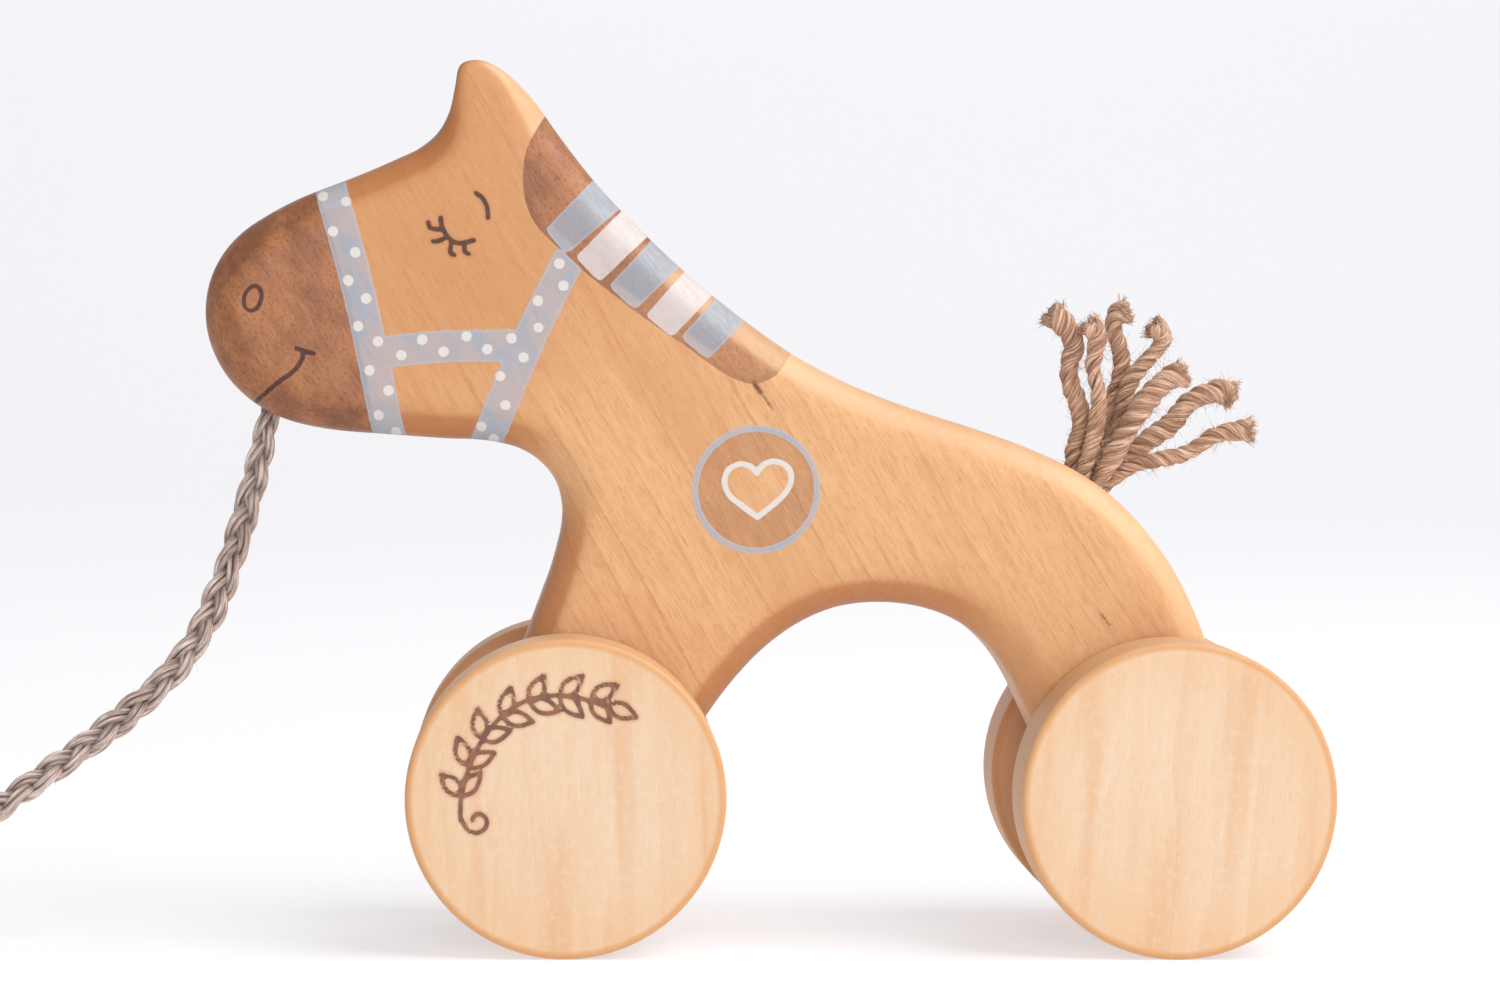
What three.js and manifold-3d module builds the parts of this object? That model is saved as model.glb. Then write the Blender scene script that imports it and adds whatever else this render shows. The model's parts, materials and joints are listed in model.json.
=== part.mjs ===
// A wooden pull-along horse: one rounded board on four disc wheels, with a tail of jute twine
// and a braided pull cord. Millimetres, +Z up, the horse faces -X, the floor is Z = 0, and the
// origin is the middle of the horse's box at floor level.

import * as THREE from "three";
import { mergeVertices } from "three/addons/utils/BufferGeometryUtils.js";
import Module from "manifold-3d";

// ---------- driving dimensions ----------

const WHEELBASE = 115.4; // between the two axles
const WHEEL_DIAMETER = 60;
const WHEEL_THICKNESS = 15.5;
const WHEEL_EDGE_RADIUS = 1; // softened rim
const WHEEL_SEGMENTS = 48; // a multiple of 4, so that a flat of the rim rests on the floor

const BOARD_THICKNESS = 28; // the horse is one board
const BOARD_EDGE_RADIUS = 6.5; // round-over along the outline
const LEG_END_RADIUS = 17; // round lower end of each leg, about its axle

const AXLE_DIAMETER = 10; // dowel
const WHEEL_SEAT_DEPTH = 11; // blind bore in the back of each wheel, which the dowel is glued into

const TWINE_DIAMETER = 3.1; // one strand of the tail
const TAIL_HOLE_DEPTH = 18;

const CORD_DIAMETER = 5.5; // braided pull cord
const CORD_HOLE_DEPTH = 22;
const COIL_TURNS = 2;
const COIL_MEAN_RADIUS = 29;
const KNOT_RADIUS = 6.2;
const KNOT_SEGMENTS = [16, 10]; // round it, and from top to bottom

// ---------- named clearances ----------

const RUNNING_CLEARANCE = 0.6; // dowel to its bore through the leg, on the radius
const GLUE_GAP = 0.3; // dowel to its seat in the wheel
const SIDE_GAP = 1.5; // leg to wheel, so that the wheel turns free
const TWINE_GAP = 0.35; // between neighbouring strands
const TWINE_HOLE_CLEARANCE = 0.5; // strands to the wall of the tail hole
const CORD_HOLE_CLEARANCE = 0.35; // cord to the wall of its hole
const FACE_GAP = 0.3; // between two solids of one cord that meet face to face

// ---------- sizes that follow from them ----------

const wheelRadius = WHEEL_DIAMETER / 2;
const axleZ = wheelRadius;
const axleRadius = AXLE_DIAMETER / 2;
const cordRadius = CORD_DIAMETER / 2;
const wheelInnerY = BOARD_THICKNESS / 2 + SIDE_GAP;
const wheelMidY = wheelInnerY + WHEEL_THICKNESS / 2;
const axleLength = 2 * (wheelInnerY + WHEEL_SEAT_DEPTH - GLUE_GAP);
const twinePitch = TWINE_DIAMETER + TWINE_GAP;
const tailHoleRadius = twinePitch + TWINE_DIAMETER / 2 + TWINE_HOLE_CLEARANCE;
const cordHoleRadius = cordRadius + CORD_HOLE_CLEARANCE;

// ---------- finishes ----------

const finish = (color, roughness) => new THREE.MeshStandardMaterial({ color, roughness, metalness: 0 });
const boardWood = finish(0xc98d52, 0.5);
const wheelWood = finish(0xe2c199, 0.55);
const dowelWood = finish(0xdcb988, 0.6);
const jute = finish(0xb08a62, 0.9);
const linen = finish(0xb5a594, 0.9);

// ---------- solids ----------

const SAME_POINT = 1e-4; // corners closer than this are one corner
const ROUND_SEGMENTS = 32; // sides of a dowel or a drill
const TUBE_STEP = 2.2; // length of one step of a tube, in diameters

const wasm = await Module();
wasm.setup();

// A closed geometry as a solid that can be joined and cut.
function solidOf(geometry) {
  const bare = geometry.clone();
  bare.deleteAttribute("normal");
  bare.deleteAttribute("uv");
  const merged = mergeVertices(bare, SAME_POINT);
  return new wasm.Manifold(
    new wasm.Mesh({
      numProp: 3,
      vertProperties: new Float32Array(merged.attributes.position.array),
      triVerts: new Uint32Array(merged.index.array),
    }),
  );
}

// A solid as a geometry with flat faces.
function geometryOf(solid) {
  const mesh = solid.getMesh();
  const points = new Float32Array(mesh.numVert * 3);
  for (let i = 0; i < mesh.numVert; i++) {
    points.set(mesh.vertProperties.subarray(i * mesh.numProp, i * mesh.numProp + 3), i * 3);
  }
  const geometry = new THREE.BufferGeometry();
  geometry.setAttribute("position", new THREE.BufferAttribute(points, 3));
  geometry.setIndex(new THREE.BufferAttribute(mesh.triVerts, 1));
  return geometry.toNonIndexed();
}

function piece(name, geometry, material) {
  geometry.computeVertexNormals();
  const mesh = new THREE.Mesh(geometry, material);
  mesh.name = name;
  return mesh;
}

// A round cutter from a point outside the surface down into the wood, along a unit direction.
function drill(radius, from, into, length) {
  const cutter = new THREE.CylinderGeometry(radius, radius, length, ROUND_SEGMENTS);
  const turn = new THREE.Quaternion().setFromUnitVectors(new THREE.Vector3(0, 1, 0), into);
  cutter.applyQuaternion(turn);
  const middle = from.clone().addScaledVector(into, length / 2);
  return cutter.translate(middle.x, middle.y, middle.z);
}

// ---------- the horse's outline ----------

// Each point is [x, z] from an axle's centre: the front half from the front axle at X = 0, the
// rear half from the rear axle, so both halves keep their shape when the wheelbase changes.

const CHEST_AND_HEAD = [
  [-6.4, 32.5], [-2.6, 43.5], [-1.0, 52.5], [-2.6, 59.2], [-7.5, 64.0], [-14.5, 66.2], // chest
  [-24, 66.7], [-35, 67.4], [-46, 68.3], [-54.5, 70.3], [-61, 74.0], // jaw
  [-65.8, 79.2], [-68.6, 85.5], [-69.2, 91.5], [-67.8, 98.0], [-63.7, 104.3], // muzzle
  [-57.4, 109.0], [-50.3, 112.7], [-42, 116.0], [-33.3, 119.8], // bridge of the nose
  [-27.6, 122.8], [-24.2, 126.4], [-22.4, 131.0], [-21.6, 135.5], // brow and ear
  [-20.2, 138.6], [-17.2, 138.6], [-12.4, 136.4], [-7.0, 131.2], // tip of the ear
  [-1.9, 124.3], [5.6, 115.0], [14.5, 106.0], [24.0, 97.4], [33.9, 89.6], // neck
  [44.1, 82.7], [54.7, 77.4], // withers
];
const BACK_AND_RUMP = [
  [-49.5, 73.2], [-37.9, 69.6], [-26.7, 65.7], [-17.0, 61.2], [-8.6, 55.2], // back
  [0.4, 44.8], [5.6, 35.5], [9.6, 25.5], // rump and hock
];
const REAR_OF_BELLY = [
  [-24.9, 11.7], [-29.2, 20.6], [-33.6, 27.0], [-39.8, 32.0], [-47.1, 34.8], [-55.4, 35.7],
];
const FRONT_OF_BELLY = [
  [51.8, 34.7], [44.4, 31.5], [37.8, 26.6], [32.0, 20.4], [26.4, 12.6],
];
const OUTLINE_POINTS = 144;
// Where each leg's round end starts and stops, in degrees about its axle.
const REAR_LEG_END = [10, -160];
const FRONT_LEG_END = [-22, -205];
const LEG_END_STEPS = 4;

// Points on the round end of a leg.
function legEnd(axleX, [fromDegrees, toDegrees]) {
  const points = [];
  for (let i = 0; i <= LEG_END_STEPS; i++) {
    const degrees = fromDegrees + ((toDegrees - fromDegrees) * i) / LEG_END_STEPS;
    const angle = THREE.MathUtils.degToRad(degrees);
    points.push([axleX + LEG_END_RADIUS * Math.cos(angle), LEG_END_RADIUS * Math.sin(angle)]);
  }
  return points;
}

const fromRearAxle = ([x, z]) => [x + WHEELBASE, z];

// The outline runs clockwise from the chest over the head and back, and is turned round at the
// end so that its inside is on the left.
const outlineCurve = new THREE.CatmullRomCurve3(
  [
    ...CHEST_AND_HEAD,
    ...BACK_AND_RUMP.map(fromRearAxle),
    ...legEnd(WHEELBASE, REAR_LEG_END),
    ...REAR_OF_BELLY.map(fromRearAxle),
    ...FRONT_OF_BELLY,
    ...legEnd(0, FRONT_LEG_END),
  ].map(([x, z]) => new THREE.Vector3(x, 0, z + axleZ)),
  true,
  "centripetal",
);
const outline = outlineCurve
  .getSpacedPoints(OUTLINE_POINTS)
  .slice(0, OUTLINE_POINTS)
  .map((p) => new THREE.Vector2(p.x, p.z))
  .reverse();

// ---------- a board with rounded edges ----------

const ROUND_OVER_STEPS = 3;
const ROUND_OVER_SHARE = 0.8; // of the largest circle that fits inside the outline at a point
const SMOOTHING_PASSES = 6;
const NO_DEPTH = 1e-6; // a point no deeper than this is beside the tangent, not inside

function inwardNormals(points) {
  return points.map((_, i) => {
    const before = points[(i + points.length - 1) % points.length];
    const after = points[(i + 1) % points.length];
    const along = after.clone().sub(before).normalize();
    return new THREE.Vector2(-along.y, along.x);
  });
}

// The round-over's radius at each point: the full radius, or less where the board is narrow.
function roundOverRadii(points, normals, fullRadius) {
  const room = points.map((p, i) => {
    let largest = Infinity;
    for (const q of points) {
      const chord = q.clone().sub(p);
      const depth = chord.dot(normals[i]);
      if (depth > NO_DEPTH) largest = Math.min(largest, chord.lengthSq() / (2 * depth));
    }
    return Math.min(fullRadius, ROUND_OVER_SHARE * largest);
  });
  let radii = room;
  for (let pass = 0; pass < SMOOTHING_PASSES; pass++) {
    radii = radii.map((r, i) => {
      const before = radii[(i + radii.length - 1) % radii.length];
      const after = radii[(i + 1) % radii.length];
      return Math.min(room[i], (before + 2 * r + after) / 4);
    });
  }
  return radii;
}

function roundedBoard(points, thickness, fullRadius) {
  const count = points.length;
  const normals = inwardNormals(points);
  const radii = roundOverRadii(points, normals, fullRadius);
  const ringAngles = [];
  for (let k = 0; k <= ROUND_OVER_STEPS; k++) ringAngles.push(-90 + (90 * k) / ROUND_OVER_STEPS);
  for (let k = 0; k <= ROUND_OVER_STEPS; k++) ringAngles.push((90 * k) / ROUND_OVER_STEPS);

  const positions = [];
  ringAngles.forEach((degrees, ring) => {
    const angle = THREE.MathUtils.degToRad(degrees);
    const side = ring <= ROUND_OVER_STEPS ? -1 : 1;
    points.forEach((p, i) => {
      const inset = radii[i] * (1 - Math.cos(angle));
      const inner = p.clone().addScaledVector(normals[i], inset);
      const y = side * (thickness / 2 - radii[i]) + radii[i] * Math.sin(angle);
      positions.push(inner.x, y, inner.y);
    });
  });

  const faces = [];
  const lastRing = ringAngles.length - 1;
  for (let ring = 0; ring < lastRing; ring++) {
    for (let i = 0; i < count; i++) {
      const a = ring * count + i;
      const b = ring * count + ((i + 1) % count);
      faces.push(a, a + count, b + count, a, b + count, b);
    }
  }
  const cap = points.map((p, i) => p.clone().addScaledVector(normals[i], radii[i]));
  for (const [a, b, c] of THREE.ShapeUtils.triangulateShape(cap, [])) {
    faces.push(a, b, c);
    const far = lastRing * count;
    faces.push(far + a, far + c, far + b);
  }
  const geometry = new THREE.BufferGeometry();
  geometry.setAttribute("position", new THREE.Float32BufferAttribute(positions, 3));
  geometry.setIndex(faces);
  return geometry;
}

// ---------- holes in the board ----------

const HOLE_START = 8; // a cutter starts this far outside the wood

// Each mouth is [x, z] from its nearer axle's centre.
const TAIL_MOUTH = [-14.05, 59.2];
const CORD_MOUTH = [-57.5, 71.6];

// The tail hole's mouth on the rump, and the way out of it.
const tailMouth = new THREE.Vector3(WHEELBASE + TAIL_MOUTH[0], 0, axleZ + TAIL_MOUTH[1]);
const tailOut = new THREE.Vector3(0.42, 0, 0.907).normalize();
// The cord hole's mouth under the muzzle, and the way out of it.
const cordMouth = new THREE.Vector3(CORD_MOUTH[0], 0, axleZ + CORD_MOUTH[1]);
const cordOut = new THREE.Vector3(-0.27, 0, -0.963).normalize();

function blindHole(radius, mouth, out, depth) {
  const from = mouth.clone().addScaledVector(out, HOLE_START);
  return drill(radius, from, out.clone().negate(), depth + HOLE_START);
}

function axleBore(axleX) {
  const length = BOARD_THICKNESS + 2 * HOLE_START;
  const from = new THREE.Vector3(axleX, -length / 2, axleZ);
  return drill(axleRadius + RUNNING_CLEARANCE, from, new THREE.Vector3(0, 1, 0), length);
}

function horseBody() {
  const cutters = [
    axleBore(0),
    axleBore(WHEELBASE),
    blindHole(tailHoleRadius, tailMouth, tailOut, TAIL_HOLE_DEPTH),
    blindHole(cordHoleRadius, cordMouth, cordOut, CORD_HOLE_DEPTH),
  ];
  let body = solidOf(roundedBoard(outline, BOARD_THICKNESS, BOARD_EDGE_RADIUS));
  for (const cutter of cutters) body = body.subtract(solidOf(cutter));
  return piece("horse_body", geometryOf(body), boardWood);
}

// ---------- wheels and axles ----------

const EDGE_STEPS = 3;

// A disc with a blind bore in the back, turned about Y; its outer face looks along -Y.
function wheelGeometry() {
  const rim = wheelRadius / Math.cos(Math.PI / WHEEL_SEGMENTS); // the flats lie at wheelRadius
  const seatRadius = axleRadius + GLUE_GAP;
  const outer = -WHEEL_THICKNESS / 2;
  const inner = WHEEL_THICKNESS / 2;
  const profile = [new THREE.Vector2(0, outer)];
  for (let k = 0; k <= EDGE_STEPS; k++) {
    const angle = (Math.PI / 2) * (k / EDGE_STEPS);
    profile.push(
      new THREE.Vector2(
        rim - WHEEL_EDGE_RADIUS * (1 - Math.sin(angle)),
        outer + WHEEL_EDGE_RADIUS * (1 - Math.cos(angle)),
      ),
    );
  }
  for (let k = EDGE_STEPS; k >= 0; k--) {
    const angle = (Math.PI / 2) * (k / EDGE_STEPS);
    profile.push(
      new THREE.Vector2(
        rim - WHEEL_EDGE_RADIUS * (1 - Math.sin(angle)),
        inner - WHEEL_EDGE_RADIUS * (1 - Math.cos(angle)),
      ),
    );
  }
  profile.push(new THREE.Vector2(seatRadius, inner));
  profile.push(new THREE.Vector2(seatRadius, inner - WHEEL_SEAT_DEPTH));
  profile.push(new THREE.Vector2(0, inner - WHEEL_SEAT_DEPTH));
  const disc = new THREE.LatheGeometry(profile, WHEEL_SEGMENTS);
  return disc.rotateY(Math.PI / WHEEL_SEGMENTS);
}

// Two wheels on one dowel.
function wheelset(name, axleX) {
  const set = new THREE.Group();
  set.position.set(axleX, 0, axleZ);
  const dowel = new THREE.CylinderGeometry(axleRadius, axleRadius, axleLength, ROUND_SEGMENTS);
  set.add(piece(`${name}_axle`, dowel, dowelWood));
  const near = piece(`${name}_left_wheel`, wheelGeometry(), wheelWood);
  near.position.y = -wheelMidY;
  const far = piece(`${name}_right_wheel`, wheelGeometry().rotateX(Math.PI), wheelWood);
  far.position.y = wheelMidY;
  set.add(near, far);
  return set;
}

// ---------- tail ----------

const TWINE_SIDES = 8;
const TWINE_BOTTOM_GAP = 2; // end of a strand to the bottom of the hole

// A round tube along a curve, with flat ends.
function tube(curve, radius, sides, steps) {
  const section = new THREE.Shape();
  for (let i = 0; i < sides; i++) {
    const angle = (2 * Math.PI * i) / sides;
    const corner = [radius * Math.cos(angle), radius * Math.sin(angle)];
    if (i === 0) section.moveTo(...corner);
    else section.lineTo(...corner);
  }
  section.closePath();
  return new THREE.ExtrudeGeometry(section, { steps, extrudePath: curve, bevelEnabled: false });
}

// Where the strands sit in the hole: one in the middle and six round it, as [ring, degrees],
// with 0 degrees towards the rump and 90 towards +Y. Each route is [x, y, z] from the mouth.
const STRANDS = [
  { seat: [1, 180], route: [[-2.5, -0.3, 6.2], [-1.2, -0.6, 10.6], [-1.9, -0.8, 14.9], [-3.6, -1, 19.2],
    [-3.8, -1, 22.7], [-2.9, -1, 26.2], [-4.3, -1, 29.7], [-7.4, -1, 32.7]] },
  { seat: [1, 240], route: [[0.7, -3.6, 8], [1.5, -4, 13.3], [1.5, -4, 17.6], [0.4, -4, 21.9],
    [0.9, -4, 25.8], [1.2, -4, 28.4], [-0.6, -4, 30.6]] },
  { seat: [1, 120], route: [[3, 3.5, 8.8], [5.1, 3.7, 14.9], [7.2, 3.7, 21.5], [6.8, 3.6, 25.9],
    [5.5, 3.4, 29.8], [6, 3.2, 32.4], [8, 3, 33.3]] },
  { seat: [0, 0], route: [[5.3, 0.2, 7.9], [7, 0.2, 14.1], [8.4, 0.2, 19.3], [11.1, 0.4, 22.9],
    [14.2, 0.8, 26.4], [14.8, 1, 28.6], [12.8, 1, 30.3]] },
  { seat: [1, 300], route: [[7.6, -4.4, 10.7], [10.3, -5, 15.1], [12.8, -5, 18.1], [15.4, -5, 20.3],
    [18, -5, 21.2]] },
  { seat: [1, 60], route: [[7.6, 3.8, 3.8], [12.7, 4, 7.9], [17.1, 4, 11], [20.2, 4, 15],
    [23.2, 4, 16.8], [26.8, 4, 17.7], [29.4, 4, 16.9]] },
  { seat: [1, 0], route: [[9.2, -1.3, 3.1], [13.5, -2, 4.2], [17.9, -2, 5.1], [21.4, -2, 6.8],
    [24.5, -2, 9], [28, -2, 9.9], [31.9, -2, 10.2]] },
];

function tailStrand({ seat, route }, index) {
  const [ring, degrees] = seat;
  const angle = THREE.MathUtils.degToRad(degrees);
  const towardsRump = new THREE.Vector3(tailOut.z, 0, -tailOut.x);
  const seatCentre = tailMouth.clone();
  seatCentre.addScaledVector(towardsRump, ring * twinePitch * Math.cos(angle));
  seatCentre.y += ring * twinePitch * Math.sin(angle);
  const deep = TAIL_HOLE_DEPTH - TWINE_BOTTOM_GAP;
  const points = [-deep, -deep / 2, -1, 0.8].map((s) => seatCentre.clone().addScaledVector(tailOut, s));
  for (const [x, y, z] of route) points.push(tailMouth.clone().add(new THREE.Vector3(x, y, z)));
  const curve = new THREE.CatmullRomCurve3(points, false, "centripetal");
  const steps = Math.round(curve.getLength() / (TUBE_STEP * TWINE_DIAMETER));
  const strand = tube(curve, TWINE_DIAMETER / 2, TWINE_SIDES, steps);
  return piece(`tail_strand_${index + 1}`, strand, jute);
}

// ---------- pull cord ----------

// The cord's route from inside its hole to the coil, from the origin of the whole part.
const CORD_ROUTE = [
  [-91.8, 0, 115.1], [-93.6, 0, 108.7], [-95.6, 0, 101.6], [-97.7, 0, 92], [-100.5, -0.4, 81],
  [-103.6, -1, 70.6], [-107.4, -2, 61], [-112.8, -4, 52.4], [-120.2, -6.2, 44.9], [-129, -8.9, 37.9],
  [-138, -11.7, 31.4], [-147, -14.4, 25.2], [-155.5, -17.2, 19.4], [-163.5, -20, 14],
  [-171.5, -23, 9.2], [-180, -26, 5.6], [-189, -28.8, 3.5], [-196.5, -30.8, 2.9],
];
const COIL_CENTRE = [-217.5, 0];
const CORD_SIDES = 10;
const COIL_SEGMENTS = 48;
const COIL_CHAMFER = 1.6;

function pullCord() {
  const curve = new THREE.CatmullRomCurve3(
    CORD_ROUTE.map((p) => new THREE.Vector3(...p)),
    false,
    "centripetal",
  );
  const steps = Math.round(curve.getLength() / (TUBE_STEP * CORD_DIAMETER));
  return piece("pull_cord", tube(curve, cordRadius, CORD_SIDES, steps), linen);
}

// The outer shape of the turns, which lie side by side.
const coilHalfWidth = (COIL_TURNS * CORD_DIAMETER) / 2;
const coilInnerRadius = COIL_MEAN_RADIUS - coilHalfWidth;

function pullCordCoil() {
  const outer = COIL_MEAN_RADIUS + coilHalfWidth;
  const inner = coilInnerRadius;
  const profile = [
    [inner, COIL_CHAMFER], [inner + COIL_CHAMFER, 0], [outer - COIL_CHAMFER, 0], [outer, COIL_CHAMFER],
    [outer, CORD_DIAMETER - COIL_CHAMFER], [outer - COIL_CHAMFER, CORD_DIAMETER],
    [inner + COIL_CHAMFER, CORD_DIAMETER], [inner, CORD_DIAMETER - COIL_CHAMFER], [inner, COIL_CHAMFER],
  ].map(([r, z]) => new THREE.Vector2(r, z));
  const ring = new THREE.LatheGeometry(profile, COIL_SEGMENTS).rotateX(Math.PI / 2);
  const coil = piece("pull_cord_coil", ring, linen);
  coil.position.set(COIL_CENTRE[0], COIL_CENTRE[1], 0);
  return coil;
}

function pullCordKnot() {
  const knot = new THREE.SphereGeometry(KNOT_RADIUS, ...KNOT_SEGMENTS);
  const mesh = piece("pull_cord_knot", knot, linen);
  const fromCentre = coilInnerRadius - FACE_GAP - KNOT_RADIUS;
  mesh.position.set(COIL_CENTRE[0], COIL_CENTRE[1] - fromCentre, KNOT_RADIUS);
  return mesh;
}

// ---------- assembly ----------

const horse = new THREE.Group();
horse.add(horseBody(), wheelset("front", 0), wheelset("rear", WHEELBASE));
STRANDS.forEach((strand, index) => horse.add(tailStrand(strand, index)));

// The origin is the middle of the horse from its muzzle to the back of its rear wheels.
const muzzleX = Math.min(...outline.map((p) => p.x));
const rearX = WHEELBASE + wheelRadius;
horse.position.x = -(muzzleX + rearX) / 2;

const group = new THREE.Group();
group.add(horse, pullCord(), pullCordCoil(), pullCordKnot());

export default group;
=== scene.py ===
# %% [markdown]
# # A wooden pull-along horse
#
# The toy is one board of light wood, sawn to the outline of a horse and rounded over along every
# edge. It rolls on four turned discs, has a tail of jute twine and is pulled by a plaited cord.
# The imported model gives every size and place; this lesson gives it its surface. All lengths are
# metres in Blender, and the drawing of the decoration is in millimetres, as a maker would mark it
# on the wood.

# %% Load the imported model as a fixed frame
import json
import math

import bmesh
import bpy
import numpy as np
from mathutils import Matrix, Vector
from mathutils.geometry import delaunay_2d_cdt


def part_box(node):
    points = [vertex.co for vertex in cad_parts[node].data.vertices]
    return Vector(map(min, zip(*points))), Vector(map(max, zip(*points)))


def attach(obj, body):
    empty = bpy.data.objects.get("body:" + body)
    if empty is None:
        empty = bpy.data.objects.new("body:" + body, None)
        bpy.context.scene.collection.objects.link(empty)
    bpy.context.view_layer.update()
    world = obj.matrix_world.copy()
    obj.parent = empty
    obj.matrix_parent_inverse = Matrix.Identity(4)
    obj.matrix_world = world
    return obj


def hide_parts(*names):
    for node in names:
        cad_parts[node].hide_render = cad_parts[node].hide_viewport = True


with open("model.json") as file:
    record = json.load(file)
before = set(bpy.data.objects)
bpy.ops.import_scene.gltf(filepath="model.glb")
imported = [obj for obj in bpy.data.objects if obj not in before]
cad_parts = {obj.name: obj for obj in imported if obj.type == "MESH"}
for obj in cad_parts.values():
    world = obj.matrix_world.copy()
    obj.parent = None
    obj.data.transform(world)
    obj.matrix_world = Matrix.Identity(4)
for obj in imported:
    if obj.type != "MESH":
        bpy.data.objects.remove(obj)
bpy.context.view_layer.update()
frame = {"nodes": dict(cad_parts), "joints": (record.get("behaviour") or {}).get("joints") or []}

MM = 0.001  # one millimetre
nodes = frame["nodes"]
joint_place = {joint["name"]: Vector(joint["pos_m"]) for joint in frame["joints"]}
front_axle = joint_place["front_axle_spin"]
rear_axle = joint_place["rear_axle_spin"]

# %% [markdown]
# ## The camera
#
# A long lens from well back keeps the board nearly flat to the eye, so the near wheels sit only a
# little lower and wider than the far ones. The camera looks along +Y, turned and tipped by small
# angles. It is built from its three axes, because two small angles and a roll are easier to read
# that way than as one Euler triple.

# %% Camera
CAMERA_PLACE = Vector((-0.04037, -0.7, 0.11463))
CAMERA_TURN = 0.05389  # radians to the right
CAMERA_TIP = 0.04193  # radians down
CAMERA_ROLL = 0.00948
CAMERA_LENS = 86.45  # on a sensor 36 wide


def camera_axes(turn, tip, roll):
    """The camera's right, up and backward directions."""
    forward = Vector((math.sin(turn) * math.cos(tip), math.cos(turn) * math.cos(tip), -math.sin(tip)))
    right = Vector((math.cos(turn), -math.sin(turn), 0))
    up = right.cross(forward)
    rolled_right = right * math.cos(roll) + up * math.sin(roll)
    rolled_up = up * math.cos(roll) - right * math.sin(roll)
    return rolled_right, rolled_up, -forward


camera = bpy.data.objects.new("camera", bpy.data.cameras.new("camera"))
camera.data.lens = CAMERA_LENS
camera.data.sensor_width = 36
bpy.context.scene.collection.objects.link(camera)
turned = Matrix(camera_axes(CAMERA_TURN, CAMERA_TIP, CAMERA_ROLL)).transposed().to_4x4()
camera.matrix_world = Matrix.Translation(CAMERA_PLACE) @ turned
bpy.context.scene.camera = camera
print("camera", round((CAMERA_PLACE - front_axle).length, 3), "m from the front axle")

# %% [markdown]
# ## Lines in space
#
# Cords, twine and loose fibres are all tubes along a line. A line starts as a few given points.
# A Catmull-Rom curve passes through each of them, and it is then walked in equal steps, so
# that a tube's rings stay evenly spaced. At each step the tube also needs two directions across
# the line. Carrying one direction along and straightening it at each step (parallel transport)
# gives a pair that never spins by itself.

# %% Smooth lines and the directions across them
CURVE_STEPS = 24  # between two chosen points, before the curve is walked evenly


def smooth_line(points, step, closed=False):
    """A curve through the points, as points a step apart."""
    points = np.array(points, float)
    if closed:
        padded = np.vstack([points[-1:], points, points[:2]])
    else:
        ends = 2 * points[0] - points[1], 2 * points[-1] - points[-2]
        padded = np.vstack([ends[0][None], points, ends[1][None]])
    spans = len(padded) - 3
    share = np.linspace(0, 1, CURVE_STEPS, endpoint=False)[:, None]
    walked = []
    for k in range(spans):
        before, start, end, after = padded[k : k + 4]
        bend = 2 * before - 5 * start + 4 * end - after
        twist = 3 * start - before - 3 * end + after
        walked.append(start + 0.5 * share * (end - before + share * (bend + share * twist)))
    line = np.vstack([*walked, points[:1] if closed else points[-1:]])
    reach = np.concatenate([[0], np.cumsum(np.linalg.norm(np.diff(line, axis=0), axis=1))])
    count = max(2, round(reach[-1] / step))
    stops = np.linspace(0, reach[-1], count + 1)
    even = np.stack([np.interp(stops, reach, line[:, k]) for k in range(line.shape[1])], 1)
    return even[:-1] if closed else even


def length_of(line):
    return float(np.linalg.norm(np.diff(line, axis=0), axis=1).sum())


def reach_along(line):
    """How far along an evenly stepped line each of its points is."""
    return np.arange(len(line)) * length_of(line) / (len(line) - 1)


def unit(vectors):
    return vectors / np.maximum(np.linalg.norm(vectors, axis=-1, keepdims=True), 1e-12)


def squared(vectors, ahead):
    """Each vector turned in its plane with the line's direction until it is square to it."""
    return unit(vectors - ahead * (vectors * ahead).sum(1, keepdims=True))


def across(line, first=(0, -1, 0)):
    """The line's direction and two directions across it, at each point."""
    ahead = unit(np.gradient(line, axis=0))
    side = np.zeros_like(line)
    carried = np.array(first, float)
    for i, direction in enumerate(ahead):
        carried = carried - direction * (carried @ direction)
        carried = carried / np.linalg.norm(carried)
        side[i] = carried
    return ahead, side, np.cross(ahead, side)


# %% [markdown]
# ## Meshes from arrays
#
# A tube is a stack of rings. Each ring is a circle of points round the line, joined to the next
# one by four-sided faces and closed by a face at each end. Two attributes are stored with it:
# where a point lies on its own bundle of fibres, for the shader's streaks, and how deep it sits
# between the bundles, where the shader paints shade. An object shows nothing until it is linked to
# the scene, so a helper makes the object and links it in one go.

# %% Building meshes


def shown(name, data):
    """A new object with that data, linked to the scene."""
    made = bpy.data.objects.new(name, data)
    bpy.context.scene.collection.objects.link(made)
    return made


class Shape:
    """Points and faces that are still being added to, with a few numbers kept at each point."""

    def __init__(self):
        self.points = []
        self.faces = []
        self.kept = {}
        self.count = 0

    def add(self, points, faces, **kept):
        self.points.append(np.asarray(points, float))
        self.faces.extend([tuple(int(k) + self.count for k in face) for face in faces])
        for name, values in kept.items():
            self.kept.setdefault(name, []).append(np.asarray(values, float))
        self.count += len(points)

    def piece(self, name):
        """The finished object, with the kept numbers as attributes."""
        mesh = bpy.data.meshes.new(name)
        mesh.from_pydata(np.vstack(self.points).tolist(), [], self.faces)
        for attribute, parts in self.kept.items():
            values = np.concatenate(parts)
            kind = "FLOAT" if values.ndim == 1 else "FLOAT_VECTOR"
            store = mesh.attributes.new(attribute, kind, "POINT").data
            field = "value" if values.ndim == 1 else "vector"
            store.foreach_set(field, values.astype(np.float32).ravel())
        mesh.polygons.foreach_set("use_smooth", [True] * len(mesh.polygons))
        mesh.update()
        return shown(name, mesh)


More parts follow.
